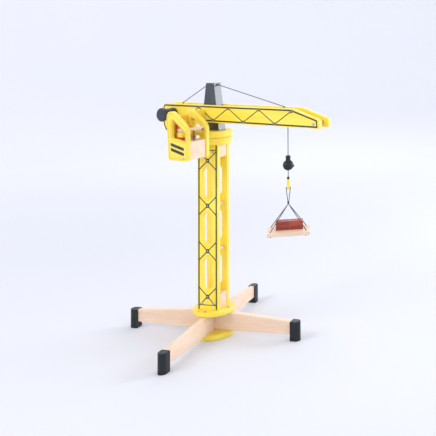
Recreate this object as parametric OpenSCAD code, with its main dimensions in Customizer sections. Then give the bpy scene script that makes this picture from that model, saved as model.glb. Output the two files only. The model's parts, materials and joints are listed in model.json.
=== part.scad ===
// Toy tower crane in wood: foot cross, twin-panel tower, slewing jib, hand winch,
// driver's cab and a slung pallet of bricks.
// X runs along the jib towards the hook, Z is up. The origin lies on the slewing axis,
// in the plane the crane stands on. "Near" is the -Y side. All sizes are millimetres.

/* [Foot cross] */
// angle of the tower and its foot cross against the jib
tower_turn = 14.5; // [-180:0.5:180]
// distance from the slewing axis to the wooden tip of each leg
leg_reach = 205; // [170:1:240]
// thickness of the two leg beams
leg_w = 12; // [10:0.5:14]
// leg height where the beams cross
leg_h_mid = 41.2; // [36:0.2:46]
// leg height at the tip
leg_h_tip = 26.5; // [22:0.5:30]
// length of a foot cap along its leg
cap_l = 21.5; // [18:0.5:24]
// width of a foot cap
cap_w = 20; // [18:0.5:24]
// height of a foot cap
cap_h = 43; // [42:0.5:46]
// radius of the two round base discs
disc_r = 47; // [42:1:56]
// thickness of the lower base disc
disc_low_t = 11; // [9:0.5:12]
// thickness of the upper base disc
disc_up_t = 10; // [8:0.5:12]

/* [Tower] */
// width of a tower panel
panel_w = 52.6; // [46:0.5:56]
// distance over the outer faces of the two panels
tower_d = 53.2; // [48:0.2:58]
// thickness of a tower panel
panel_t = 11; // [8:0.5:12]
// height of a tower panel
panel_h = 377; // [374:1:400]
// length of each round-ended window
slot_l = 72; // [50:1:74]
// width of each round-ended window
slot_w = 25; // [20:1:32]
// spacing of the truss bays
bay = 103.3; // [100:0.1:106]
// height of the lowest truss cross above the upper disc
bay_start = 30; // [26:1:34]
// diameter of the spacer dowels
dowel_d = 6; // [5:0.5:8]

/* [Slewing joint] */
// radius of the turntable
turntable_r = 43.7; // [40:0.1:44.2]
// thickness of the turntable
turntable_t = 15.3; // [12:0.1:15.3]
// radius of the fixed collar disc
collar_r = 42; // [38:0.5:43]
// thickness of the fixed collar disc
collar_t = 15.6; // [12:0.1:15.6]
// radius of the slewing dowel
slew_r = 8; // [6:0.5:9]
// running clearance on every shaft
run_gap = 0.05; // [0.02:0.01:0.1]

/* [Mast and jib] */
// half length of the mast block at its foot
mast_foot = 27.6; // [24:0.2:30]
// half length of the mast block at its head
mast_head = 12.6; // [10:0.2:15]
// height of the mast head above the ground
mast_top = 580; // [570:1:590]
// thickness of a jib plate
jib_t = 9; // [7:0.5:9]
// distance over the outer faces of the jib plates
jib_d = 40.8; // [40:0.2:42]
// height of the jib's lower edge
jib_z0 = 489.3; // [488:0.1:491]
// height of the jib's upper edge
jib_z1 = 529.4; // [528:0.1:531]
// reach of the jib nose
jib_nose = 320; // [300:1:340]
// reach of the jib tail
jib_tail = 142.5; // [140:0.5:150]
// where the upper edge starts to slope to the nose
slope_x = 249; // [235:1:260]
// height of the nose at its upper corner
nose_z = 509; // [505:1:514]
// radius of the rounded winch lobe under the tail
lobe_r = 37.5; // [34:0.5:38]

/* [Winch and hook] */
// distance of the winch shaft behind the slewing axis
winch_x = 106; // [100:1:110]
// height of the winch shaft
winch_z = 506.6; // [504:0.1:508]
// radius of the winch shaft
shaft_r = 6; // [5:0.5:7]
// radius of the winch knob's face
knob_r = 16; // [14:0.5:16.5]
// length of the winch knob
knob_l = 39; // [30:1:42]
// radius of the winch knob's barrel
knob_barrel = 13.4; // [11:0.2:14]
// reach of the hoist line
hook_x = 219.5; // [200:0.5:230]
// radius of the guide roller
roller_r = 6.5; // [5:0.5:7]
// radius of the cord
cord_r = 0.95; // [0.7:0.05:1.1]
// height of the top of the hook weight
weight_top = 424; // [400:1:440]
// radius of the hook weight
weight_r = 11.7; // [10:0.1:13]

/* [Load] */
// angle of the load against the jib
load_turn = 37.5; // [-180:0.5:180]
// length of the pallet
pallet_l = 92; // [80:1:96]
// depth of the pallet
pallet_w = 62; // [56:1:68]
// thickness of the pallet
pallet_t = 8; // [6:0.5:9]
// height of the pallet's underside
pallet_z = 255; // [250:0.5:258]
// length of a brick
brick_l = 29.3; // [26:0.1:30]
// width of a brick
brick_w = 20.4; // [16:0.2:22]
// height of a brick
brick_h = 9.4; // [8:0.1:10]

/* [Cab] */
// distance from the slewing axis to the inner face of the cab
cab_y = 45; // [44.5:0.5:50]
// width over the cab's side panels
cab_d = 67; // [62:0.5:72]
// thickness of a cab side panel
cab_t = 10; // [8:0.5:10]
// height of the cab's underside
cab_z = 415; // [414:0.5:418]
// height of the wooden floor block's upper face
floor_z = 457; // [452:0.5:458]

/* [Hidden] */

$fn = 64;
yellow = [0.97, 0.82, 0.16];
beech = [0.90, 0.74, 0.56];
slate = [0.20, 0.25, 0.27];
red = [0.74, 0.20, 0.16];
brown = [0.50, 0.27, 0.13];
steel = [0.75, 0.76, 0.78];
cord_grey = [0.24, 0.26, 0.28];
white = [0.93, 0.93, 0.90];

// levels, from the ground up
leg_z0 = disc_low_t;                 // underside of the legs at the crossing
leg_z1 = leg_z0 + leg_h_mid;         // top of the legs at the crossing
tower_z0 = leg_z1 + disc_up_t;
tower_z1 = tower_z0 + panel_h;
collar_z = tower_z1 + 0.02;
turn_z = tower_z1 + collar_t + 0.4;
mast_z = turn_z + turntable_t;

// distances from the middle plane to the inner faces of the paired plates
panel_in = tower_d / 2 - panel_t;
jib_in = jib_d / 2 - jib_t;

// screws of the base and tower, and their holes
screw_r = 1.7;
screw_head_r = 3.4;
pilot_r = 1.75;
clear_r = 2;

over = 1;                            // how far a cut runs past a face
lap = 0.01;                          // overlap of a bevelled end with its body

// ---------- helpers ----------
// round bar between two points
module rod(start, end, radius) {
  span = end - start;
  length = norm(span);
  translate(start)
    rotate([0, acos(span[2] / length), atan2(span[1], span[0])])
      cylinder(r = radius, h = length);
}
// points on an arc in an outline
function arc(x, z, radius, from, to, steps) =
  [for (i = [0:steps]) let (angle = from + (to - from) * i / steps)
    [x + radius * cos(angle), z + radius * sin(angle)]];
module bead(place, radius) { translate(place) sphere(r = radius, $fn = 28); }
module along_y(x, z, y0, y1, radius) {
  translate([x, y0, z]) rotate([-90, 0, 0]) cylinder(r = radius, h = y1 - y0);
}
// bar along Y, reaching equally far to both sides
module across(x, z, reach, radius) { along_y(x, z, -reach, reach, radius); }
module along_x(y, z, x0, x1, radius) {
  translate([x0, y, z]) rotate([0, 90, 0]) cylinder(r = radius, h = x1 - x0);
}
// an outline drawn in X and Z, extruded from y0 to y1
module slab_y(y0, y1) {
  translate([0, y1, 0]) rotate([90, 0, 0]) linear_extrude(height = y1 - y0) children();
}
// screw with a domed head, pointing along +Z from its head's seat
module screw(length, head_r, shank_r) {
  rotate_extrude() polygon([[0, -1.5], [head_r * 0.62, -1.5], [head_r, -0.5], [head_r, 0],
    [shank_r, 0], [shank_r, length - 2], [0, length]]);
}
// ring of cord around the origin, in the XY plane
module cord_ring(radius, sides) {
  translate([radius, 0]) circle(r = cord_r, $fn = sides);
}
// disc with both rims bevelled
module rim_disc(radius, thick, edge) {
  rotate_extrude($fn = 96) polygon([[0, 0], [radius - edge, 0], [radius, edge],
    [radius, thick - edge], [radius - edge, thick], [0, thick]]);
}
module tower_frame() { rotate([0, 0, tower_turn]) children(); }
module load_frame() { translate([hook_x, 0, 0]) rotate([0, 0, load_turn]) children(); }

// ---------- foot cross ----------
leg_drop = 11;                       // fall of the upper edge out to the tip
flat_r = disc_r - 5;                 // the edges run level this far out
disc_screw_x = 37.7;                 // distance of the disc screws from the axis
bore_depth = 3.5;                    // counterbores under the lower disc

module leg_outline() {
  tip_z1 = leg_z1 - leg_drop;
  tip_z0 = tip_z1 - leg_h_tip;
  polygon([[-leg_reach, tip_z0], [-flat_r, leg_z0], [flat_r, leg_z0], [leg_reach, tip_z0],
    [leg_reach, tip_z1], [flat_r, leg_z1], [-flat_r, leg_z1], [-leg_reach, tip_z1]]);
}
module leg_slab() { slab_y(-leg_w / 2, leg_w / 2) leg_outline(); }
module leg_holes() {
  for (side = [-1, 1]) {
    translate([side * disc_screw_x, 0, leg_z1 - 20]) cylinder(r = pilot_r, h = 21);
    translate([side * disc_screw_x, 0, leg_z0 - over]) cylinder(r = pilot_r, h = 17);
  }
}
// beam half-lapped at the crossing, notched from above or from below
module leg_beam(upper_notch) {
  mid_z = (leg_z0 + leg_z1) / 2;
  difference() {
    leg_slab();
    if (upper_notch)
      translate([-leg_w / 2, -leg_w, mid_z]) cube([leg_w, 2 * leg_w, leg_h_mid]);
    else
      translate([-leg_w / 2, -leg_w, leg_z0 - over])
        cube([leg_w, 2 * leg_w, mid_z - leg_z0 + over]);
    leg_holes();
  }
}
module leg_beam_long() { color(beech) tower_frame() leg_beam(true); }
module leg_beam_cross() { color(beech) tower_frame() rotate([0, 0, 90]) leg_beam(false); }

// D-shaped cap with a pocket for the leg's tip
module foot_cap(angle) {
  x0 = leg_reach - 11;
  straight = cap_l - cap_w / 2;
  bevel = 1.2;
  inset = 1;                         // step of the top at the straight end
  color(slate) tower_frame() rotate([0, 0, angle])
    difference() {
      union() {
        translate([x0, -cap_w / 2, 0]) cube([straight, cap_w, cap_h - bevel]);
        translate([x0 + straight, 0, 0]) cylinder(r = cap_w / 2, h = cap_h - bevel);
        translate([x0 + inset, -cap_w / 2 + bevel, cap_h - bevel - lap])
          cube([straight - inset, cap_w - 2 * bevel, bevel + lap]);
        translate([x0 + straight, 0, cap_h - bevel - lap])
          cylinder(r1 = cap_w / 2, r2 = cap_w / 2 - bevel, h = bevel + lap);
      }
      leg_slab();
    }
}
module foot_cap_right() { foot_cap(0); }
module foot_cap_left() { foot_cap(180); }
module foot_cap_front() { foot_cap(-90); }
module foot_cap_back() { foot_cap(90); }

// ---------- base discs ----------
module disc_screw_spots() {
  for (angle = [0:90:270]) rotate([0, 0, angle]) translate([disc_screw_x, 0, 0]) children();
}
module lower_disc() {
  color(yellow) tower_frame() difference() {
    rim_disc(disc_r, disc_low_t, 1);
    disc_screw_spots() {
      translate([0, 0, -over]) cylinder(r = clear_r, h = disc_low_t + 2 * over);
      translate([0, 0, -over]) cylinder(r = 4, h = bore_depth + over);
    }
  }
}
module upper_disc() {
  color(yellow) tower_frame() translate([0, 0, leg_z1]) difference() {
    rim_disc(disc_r, disc_up_t, 1.5);
    disc_screw_spots() translate([0, 0, -over]) cylinder(r = clear_r, h = disc_up_t + 2 * over);
  }
}
module disc_screws() {
  color(steel) tower_frame() disc_screw_spots() {
    translate([0, 0, tower_z0]) mirror([0, 0, 1]) screw(26, screw_head_r, screw_r);
    translate([0, 0, bore_depth]) screw(20, screw_head_r, screw_r);
  }
}

// ---------- tower ----------
block_x = panel_w / 2 - 1.5;         // half width of the end blocks
block_low_h = 33;
block_up_h = 31;
dowel_x = 17;
dowel_in = 5;                        // depth of a dowel in its panel
tower_screw_x = 14;
screw_low = 15;                      // lower screws above the panel's foot
screw_high = 17;                     // upper screws below the panel's head

function cross_z(k) = tower_z0 + bay_start + k * bay;
module panel_outline() {
  half = (slot_l - slot_w) / 2;
  difference() {
    translate([-panel_w / 2, tower_z0]) square([panel_w, panel_h]);
    for (k = [0:2]) {
      mid_z = (cross_z(k) + cross_z(k + 1)) / 2;
      translate([-slot_w / 2, mid_z - half]) square([slot_w, 2 * half]);
      translate([0, mid_z - half]) circle(r = slot_w / 2);
      translate([0, mid_z + half]) circle(r = slot_w / 2);
    }
  }
}
module tower_screw_spots() {
  for (side = [-1, 1]) {
    translate([side * tower_screw_x, 0, tower_z0 + screw_low]) children();
    translate([side * tower_screw_x, 0, tower_z1 - screw_high]) children();
  }
}
// the dowels, also cut out of the panels as blind holes
module dowel_set() {
  for (k = [1:2]) for (side = [-1, 1])
    across(side * dowel_x, cross_z(k), panel_in + dowel_in, dowel_d / 2);
}
module tower_panel() {
  difference() {
    slab_y(-tower_d / 2, -panel_in) panel_outline();
    tower_screw_spots() along_y(0, 0, -tower_d, 0, clear_r);
    dowel_set();
  }
}
module tower_front_panel() { color(yellow) tower_frame() tower_panel(); }
module tower_rear_panel() { color(yellow) tower_frame() rotate([0, 0, 180]) tower_panel(); }
module tower_bottom_block() {
  color(beech) tower_frame() difference() {
    translate([-block_x, -panel_in, tower_z0]) cube([2 * block_x, 2 * panel_in, block_low_h]);
    tower_screw_spots() across(0, 0, tower_d, pilot_r);
  }
}
module tower_top_block() {
  pilot_in = 8;                      // depth of the screw holes in the block
  color(beech) tower_frame() difference() {
    translate([-block_x, -panel_in, tower_z1 - block_up_h])
      cube([2 * block_x, 2 * panel_in, block_up_h]);
    tower_screw_spots() {
      along_y(0, 0, -tower_d, -panel_in + pilot_in, pilot_r);
      along_y(0, 0, panel_in - pilot_in, tower_d, pilot_r);
    }
    translate([0, 0, tower_z1 - block_up_h - over])
      cylinder(r = slew_r + run_gap, h = block_up_h + 2 * over);
  }
}
module tower_dowels() { color(beech) tower_frame() dowel_set(); }
module tower_screws() {
  color(steel) tower_frame() for (turn = [0, 180]) rotate([0, 0, turn])
    tower_screw_spots() translate([0, -tower_d / 2, 0]) rotate([-90, 0, 0])
      screw(panel_t + 6.5, screw_head_r, screw_r);
}

// ---------- slewing joint ----------
slew_z0 = tower_z1 - block_up_h - 0.2; // foot of the slewing dowel
slew_in = 12;                          // depth of the dowel in the mast block
washer_t = 1.5;

module bored_disc(z, radius, thick, bore_r) {
  translate([0, 0, z]) difference() {
    rim_disc(radius, thick, 1.5);
    translate([0, 0, -over]) cylinder(r = bore_r, h = thick + 2 * over);
  }
}
module collar_disc() {
  color(yellow) bored_disc(collar_z, collar_r, collar_t, slew_r + run_gap);
}
module turntable() { color(yellow) bored_disc(turn_z, turntable_r, turntable_t, slew_r); }
module slew_dowel() {
  color(beech) difference() {
    translate([0, 0, slew_z0]) cylinder(r = slew_r, h = mast_z + slew_in - slew_z0);
    translate([0, 0, slew_z0 - over]) cylinder(r = 2, h = 25);
  }
}
module slew_washer() {
  color(steel) translate([0, 0, slew_z0 - washer_t]) difference() {
    cylinder(r = 12, h = washer_t);
    translate([0, 0, -over]) cylinder(r = 2.2, h = 4);
  }
}
module slew_screw() { color(steel) translate([0, 0, slew_z0 - washer_t]) screw(24, 4.5, 1.95); }

// ---------- mast and jib ----------
stay_z = mast_top - 4.5;             // the stay's height in the mast head
pin_r = 3;                           // stay pins
pin_z = jib_z1 - 5;
pin_front = 210;
pin_rear = -96;
pin_in = 4;                          // depth of the pins in the jib plates
loop_in_r = pin_r + 0.05;            // inner radius of a stay loop
tip_x = 304;                         // spacer in the jib nose
tip_z = 499;
tip_in = 3;                          // depth of the spacer in the jib plates
cord_seat = 1;                       // from a drum's or roller's face to the cord's centre
line_z = winch_z + shaft_r + cord_seat; // centre of the cord between drum and roller
roll_x = hook_x - roller_r - cord_seat;
roll_z = line_z - roller_r - cord_seat;
roll_pin_r = 2.5;
line_end = 498;                      // where the hanging part of the line starts

module mast_block() {
  bevel = 1.2;
  color(slate) difference() {
    slab_y(-jib_in, jib_in)
      polygon([[-mast_foot, mast_z], [mast_foot, mast_z], [mast_head, mast_top - bevel],
        [mast_head - bevel, mast_top], [-mast_head + bevel, mast_top],
        [-mast_head, mast_top - bevel]]);
    translate([0, 0, mast_z - over]) cylinder(r = slew_r, h = slew_in + over);
    along_x(0, line_z, -40, 40, 2.5);
    along_x(0, stay_z, -40, 40, 1.3);
  }
}
module jib_outline() {
  corner = 9;
  difference() {
    polygon(concat(
      [[slope_x, jib_z1]],
      arc(corner - jib_tail, jib_z1 - corner, corner, 90, 180, 8),
      arc(lobe_r - jib_tail, jib_z0 + 0.7, lobe_r, 180, 358.9, 34),
      [[jib_nose - 2, jib_z0], [jib_nose, jib_z0 + 2],
        [jib_nose, nose_z - 3], [jib_nose - 3, nose_z]]));
    translate([-winch_x, winch_z]) circle(r = shaft_r + run_gap);
  }
}
module stay_pin_pair() {
  for (x = [pin_front, pin_rear]) across(x, pin_z, jib_in + pin_in, pin_r);
}
module roller_axle() { across(roll_x, roll_z, jib_in + pin_in, roll_pin_r); }
module tip_bar() { across(tip_x, tip_z, jib_in + tip_in, 5); }
module jib_plate(y0, y1) {
  difference() {
    slab_y(y0, y1) jib_outline();
    stay_pin_pair();
    roller_axle();
    tip_bar();
    across(tip_x, tip_z, jib_d, 1.9);
  }
}
module jib_near_plate() { color(yellow) jib_plate(-jib_d / 2, -jib_in); }
module jib_far_plate() { color(yellow) jib_plate(jib_in, jib_d / 2); }
module jib_tip_spacer() {
  pilot_in = 6;
  color(beech) difference() {
    tip_bar();
    along_y(tip_x, tip_z, -jib_d, -jib_in + pilot_in, 1.6);
    along_y(tip_x, tip_z, jib_in - pilot_in, jib_d, 1.6);
  }
}
module jib_tip_screws() {
  color(steel) for (side = [0, 1]) mirror([0, side, 0])
    translate([tip_x, -jib_d / 2, tip_z]) rotate([-90, 0, 0]) screw(jib_t + 5, 3.1, 1.6);
}
module stay_pins() { color(beech) stay_pin_pair(); }
// the stay is one cord through the mast head, knotted to a loop on each pin
module stay_loops() {
  color(cord_grey) for (x = [pin_rear, pin_front])
    translate([x, 0, pin_z]) rotate([90, 0, 0]) rotate_extrude($fn = 48)
      cord_ring(loop_in_r + cord_r, 24);
}
module stay_cord() {
  edge = mast_head + 3.1;
  knot_top = pin_z + loop_in_r + 2 * cord_r + 1.65;
  color(cord_grey) {
    for (x = [pin_rear, pin_front]) bead([x, 0, knot_top], 1.6);
    rod([pin_rear, 0, knot_top], [-edge, 0, stay_z], cord_r);
    rod([-edge, 0, stay_z], [edge, 0, stay_z], cord_r);
    rod([edge, 0, stay_z], [pin_front, 0, knot_top], cord_r);
    for (x = [-edge, edge]) bead([x, 0, stay_z], 1.9);
  }
}
module roller_pin() { color(steel) roller_axle(); }
module guide_roller() {
  bore_r = roll_pin_r + run_gap;
  flange_r = 8.6;
  half = 10.8;
  color(beech) translate([roll_x, 0, roll_z]) rotate([90, 0, 0])
    rotate_extrude() polygon([[bore_r, -half], [flange_r, -half], [flange_r, -9.3],
      [roller_r, -7.8], [roller_r, 7.8], [flange_r, 9.3], [flange_r, half], [bore_r, half]]);
}
// the run of cord between the plates, from the drum over the roller to the jib's underside
module jib_line() {
  color(cord_grey) {
    rod([-winch_x, 0, line_z], [roll_x, 0, line_z], cord_r);
    translate([roll_x, 0, roll_z]) rotate([90, 0, 0]) rotate_extrude(angle = 90, $fn = 64)
      cord_ring(roller_r + cord_seat, 24);
    rod([hook_x, 0, line_end], [hook_x, 0, roll_z], cord_r);
  }
}

// ---------- winch ----------
winch_face = jib_d / 2 + 0.6;        // inner faces of the knob and the end cap
shaft_near = jib_d / 2 + 28;         // shaft ends, from the middle plane
shaft_far = jib_d / 2 + 6;

module winch_shaft() { color(beech) along_y(-winch_x, winch_z, -shaft_near, shaft_far, shaft_r); }
module winch_knob() {
  color(slate) translate([-winch_x, -winch_face, winch_z]) rotate([90, 0, 0]) difference() {
    rotate_extrude($fn = 96) polygon([[0, 0], [knob_barrel - 0.8, 0], [knob_barrel, 0.8],
      [knob_barrel, knob_l - 9], [knob_r - 0.8, knob_l - 8.2], [knob_r, knob_l - 7.4],
      [knob_r, knob_l - 1.5], [knob_r - 1.5, knob_l], [0, knob_l]]);
    translate([0, 0, -over]) cylinder(r = shaft_r, h = shaft_near - winch_face + over);
  }
}
module winch_end_cap() {
  color(slate) translate([-winch_x, winch_face, winch_z]) rotate([-90, 0, 0]) difference() {
    rotate_extrude() polygon([[0, 0], [11, 0], [11, 6.5], [9.5, 8], [0, 8]]);
    translate([0, 0, -over]) cylinder(r = shaft_r, h = shaft_far - winch_face + over);
  }
}
module line_wraps() {
  pitch = 2;
  color(cord_grey) for (k = [0:3])
    translate([-winch_x, -2.1 - pitch * k, winch_z]) rotate([90, 0, 0])
      rotate_extrude($fn = 48) cord_ring(shaft_r + cord_seat, 20);
}

// ---------- hook ----------
weight_z = weight_top - 21.2;        // centre of the weight's ball
swivel_z = 377;                      // lower end of the cord under the weight
swivel_r = 1.2;                      // stem under the swivel bead
hook_t = 6.4;
bow_z = 357.5;                       // centre of the load hook's bow
bow_in = 4;                          // radii of the bow
bow_out = 8;

module hoist_line() {
  z0 = weight_top + 0.3;
  color(cord_grey) translate([hook_x, 0, z0]) cylinder(r = cord_r, h = line_end - 0.4 - z0);
}
// ball with a neck on top and a tapered stub on its side
module hook_weight() {
  neck_r = 5.2;
  bevel = 0.8;
  color(slate) translate([hook_x, 0, 0]) difference() {
    union() {
      translate([0, 0, weight_z]) sphere(r = weight_r, $fn = 72);
      translate([0, 0, weight_z]) cylinder(r = neck_r, h = weight_top - weight_z - bevel);
      translate([0, 0, weight_top - bevel - lap])
        cylinder(r1 = neck_r, r2 = neck_r - bevel, h = bevel + lap);
      rotate([0, 0, 35]) translate([weight_r - 4, 0, weight_z - 2])
        rotate([0, 90, 0]) cylinder(r1 = 3.6, r2 = 2.4, h = 5.2);
    }
    translate([0, 0, weight_z - 20]) cylinder(r = cord_r, h = 20);
    translate([0, 0, weight_top - 6]) cylinder(r = cord_r + 0.3, h = 10);
  }
}
module hook_cord() {
  color(cord_grey) translate([hook_x, 0, swivel_z]) cylinder(r = cord_r, h = weight_z - swivel_z);
}
module swivel_bead() {
  bead_z = 374.6;
  stem_l = 7.6;
  color(slate) translate([hook_x, 0, 0]) difference() {
    union() {
      translate([0, 0, bead_z]) sphere(r = 3);
      translate([0, 0, bead_z - stem_l]) cylinder(r = swivel_r, h = stem_l);
    }
    translate([0, 0, swivel_z]) cylinder(r = cord_r, h = 5);
  }
}
// flat J-shaped hook, lying in the load's YZ plane
module load_hook() {
  hook_top = 371.5;
  color(yellow) load_frame() difference() {
    rotate([0, 0, 90]) slab_y(-hook_t / 2, hook_t / 2)
      polygon(concat(
        arc(0, bow_z, bow_out, 180, 360, 16),
        arc(6, bow_z + 0.8, 2, 0, 180, 6),
        arc(0, bow_z, bow_in, 360, 180, 12),
        [[-4, 361.3], [-1, 363.4], [4, 365.3], [4, 370.5], [3, hook_top], [-4, hook_top],
          [-8, 366.5]]));
    translate([0, 0, 366.8]) cylinder(r = swivel_r + run_gap, h = 10);
  }
}

// ---------- load ----------
knot_z = 318;                        // knot joining the sling's legs
deck_z = pallet_z + pallet_t;
sling_x = pallet_l / 2 - 8;          // places of the sling's corner holes
sling_y = pallet_w / 2 - 9;

module sling_cord() {
  seat_z = bow_z - bow_in + cord_r + 0.1;
  bend_x = hook_t / 2 + cord_r + 0.65;
  color(cord_grey) load_frame() {
    rod([-bend_x, 0, seat_z], [bend_x, 0, seat_z], cord_r);
    for (side = [-1, 1]) {
      bead([side * bend_x, 0, seat_z], cord_r + 0.12);
      rod([side * bend_x, 0, seat_z], [side * 1.1, 0, knot_z + 5], cord_r - 0.08);
    }
    translate([0, 0, knot_z]) cylinder(r = 2.1, h = 6.5);
    bead([0, 0, knot_z], 2.4);
  }
}
// one leg of the sling for each corner, knotted under the deck
module sling_legs() {
  bend_z = deck_z + 1.4;
  tail_z = pallet_z - 1.6;
  root = 0.05;                       // the legs start at this fraction of the corner's reach
  color(cord_grey) load_frame() for (x = [-sling_x, sling_x]) for (y = [-sling_y, sling_y]) {
    rod([x * root, y * root, knot_z - 2.75], [x, y, bend_z], cord_r);
    bead([x, y, bend_z], cord_r + 0.15);
    translate([x, y, tail_z]) cylinder(r = cord_r - 0.1, h = bend_z - tail_z);
    bead([x, y, pallet_z - 1.95], 1.9);
  }
}
module pallet() {
  color(beech) load_frame() difference() {
    translate([-pallet_l / 2, -pallet_w / 2, pallet_z]) cube([pallet_l, pallet_w, pallet_t]);
    for (x = [-sling_x, sling_x]) for (y = [-sling_y, sling_y])
      translate([x, y, pallet_z - over]) cylinder(r = 1.6, h = pallet_t + 2 * over);
  }
}
// two stacks of two, side by side
module bricks() {
  offset_xy = 2;                     // the group's centre on the pallet
  gap = 0.3;
  layer_gap = 0.05;
  color(red) load_frame() for (i = [0, 1]) for (j = [0, 1])
    translate([offset_xy + (i - 1) * (brick_l + gap) + gap / 2, offset_xy - brick_w / 2,
      deck_z + layer_gap + j * (brick_h + layer_gap)])
      cube([brick_l, brick_w, brick_h]);
}

// ---------- cab ----------
// distances towards -Y
cab_in = cab_y + cab_t;              // inner face of the far side panel
cab_end = cab_y + cab_d;             // outer face of the near side panel
cab_out = cab_end - cab_t;           // inner face of the near side panel
floor_front = 29;
floor_back = -22.3;
bar_x = 23.5;                        // bar across the front of the cab
bar_z = 484;
bar_r = 3;
cab_screw_spots = [[20, cab_z + 8], [-19.5, cab_z + 36]]; // x, z
driver_x = -9.5;
driver_y = -86;
peg_r = 5;                           // peg under the driver
lever_x = 14;
lever_y = -76;
pivot_z = floor_z - 4;               // lever's pivot
pivot_r = 1.2;
knob_z = floor_z + 7.5;              // lever's side knob
knob_pin_r = 1.1;

// x, z points of a side panel, from the lower rear corner along the bottom
module cab_outline() {
  polygon([[-27.6, cab_z + 5], [-26.2, cab_z + 1.5], [-23, cab_z], [27, cab_z],
    [30.5, cab_z + 1.5], [32, cab_z + 5], [32, 479], [30.8, 486], [27.2, 492.5],
    [22, 497.4], [16, 502], [10, 506.4], [4, 510.8], [-2, 515.5], [-7.5, 519.8],
    [-11, 521.9], [-15, 523], [-22, 523], [-26.5, 521.8], [-30.2, 518.6],
    [-32.4, 513.5], [-33, 507]]);
}
// x, z points of the window, from the lower rear corner up
module cab_window() {
  polygon([[-17.4, 468], [-17.4, 499.5], [-16, 502.6], [-13, 503.6], [-9.5, 502.4],
    [21, 479.4], [23.5, 476.8], [24.2, 473.5], [24.2, 461], [23, 458.4], [20, 458],
    [-13, 463.6], [-16.2, 465]]);
}
module cab_side(y0) {
  difference() {
    slab_y(y0, y0 + cab_t) difference() { cab_outline(); cab_window(); }
    along_y(bar_x, bar_z, y0 - over, y0 + cab_t + over, bar_r);
  }
}
module cab_near_panel() {
  color(yellow) difference() {
    cab_side(-cab_end);
    for (spot = cab_screw_spots)
      along_y(spot[0], spot[1], -cab_end - over, -cab_out + over, 1.9);
  }
}
module cab_far_panel() { color(yellow) cab_side(-cab_in); }
module cab_back_panel() {
  color(yellow) slab_y(-cab_out, -cab_in)
    polygon([[floor_back - 4.6, cab_z + 5], [floor_back - 0.1, cab_z + 5],
      [-26.6, 510], [-31.8, 510]]);
}
module lever_axle() { along_y(lever_x, pivot_z, lever_y - 8, lever_y + 8, pivot_r); }
module cab_floor_block() {
  z0 = cab_z + 2;
  color(beech) difference() {
    translate([floor_back, -cab_out, z0])
      cube([floor_front - floor_back, cab_out - cab_in, floor_z - z0]);
    translate([driver_x, driver_y, floor_z - 12]) cylinder(r = peg_r + run_gap, h = 13);
    translate([lever_x - 6, lever_y - 3.2, floor_z - 9]) cube([12, 6.4, 10]);
    lever_axle();
    for (spot = cab_screw_spots)
      along_y(spot[0], spot[1], -cab_out - over, -cab_out + 12, 1.6);
  }
}
module cab_crossbar() {
  color(beech) along_y(bar_x, bar_z, -cab_end + 0.5, -cab_y - 0.5, bar_r);
}
module cab_screws() {
  color(steel) for (spot = cab_screw_spots)
    translate([spot[0], -cab_end, spot[1]]) rotate([-90, 0, 0]) screw(20, 3, 1.6);
}
// block between the jib's near plate and the cab
module cab_spacer() {
  color(yellow) translate([-28, -cab_y, 504.5]) cube([22, cab_y - jib_d / 2, 14]);
}
module lever_pin() { color(steel) lever_axle(); }
module control_lever() {
  lever_r = 2.6;
  lever_l = 23;
  color(brown) difference() {
    union() {
      translate([lever_x, lever_y, pivot_z]) cylinder(r = lever_r, h = lever_l);
      for (z = [pivot_z, pivot_z + lever_l]) bead([lever_x, lever_y, z], lever_r);
    }
    along_y(lever_x, pivot_z, lever_y - 8, lever_y + 8, pivot_r + run_gap);
    along_x(lever_y, knob_z, lever_x, lever_x + 8, knob_pin_r);
  }
}
module knob_stem() { along_x(lever_y, knob_z, lever_x, lever_x + 11, knob_pin_r); }
module lever_knob_pin() { color(slate) knob_stem(); }
module lever_knob() {
  color(white) difference() {
    bead([lever_x + 11.5, lever_y, knob_z], 4.4);
    knob_stem();
  }
}

// ---------- driver ----------
head_z = floor_z + 24;
head_r = 11.5;
head_tilt = -10;                     // the driver looks up a little, towards the jib

// turned body with a hollow for the head, a peg below and two arms
module driver_body() {
  hollow_r = head_r + 0.1;
  body_z = floor_z + 0.3;
  rise = head_z - body_z;            // head's centre above the body's foot
  color(red) translate([driver_x, driver_y, 0]) {
    translate([0, 0, floor_z - 11.5]) cylinder(r = peg_r, h = 12);
    translate([0, 0, body_z]) rotate_extrude()
      polygon(concat(
        [[0, 0], [11.6, 0], [12.8, 1.2], [13.3, 8], [13.1, 14], [12.3, 17], [11.3, 17.8]],
        [for (angle = [58:-7:9]) [hollow_r * sin(angle), rise - hollow_r * cos(angle)]],
        [[0, rise - hollow_r]]));
    for (side = [-1, 1])
      translate([-1.5, side * 10.8, floor_z + 14]) rotate([0, 118, side * -8])
        rotate_extrude()
          polygon([[0, 0], [2.6, 0.9], [2.9, 3.5], [2.5, 13], [1.6, 14.7], [0, 15]]);
  }
}
module head_frame() {
  translate([driver_x, driver_y, head_z]) rotate([0, head_tilt, 0]) children();
}
// ball with a nose, cut flat under the cap
module driver_head() {
  color(beech) head_frame() difference() {
    union() {
      sphere(r = head_r);
      bead([11.7, 0, -1], 1.8);
    }
    translate([-14, -14, 2.95]) cube([28, 28, 14]);
  }
}
// domed cap with a peak towards +X
module driver_cap() {
  color(red) head_frame() translate([0, 0, 3]) {
    rotate_extrude() polygon([[0, 0], [13.4, 0], [13.6, 1.2], [13.1, 5], [11.4, 9.8],
      [8, 13.8], [4, 15.9], [0, 16.4]]);
    difference() {
      translate([14, 0, 0]) cylinder(r = 10.5, h = 2);
      translate([-20, -15, -1]) cube([26, 30, 4]);
    }
  }
}

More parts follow.
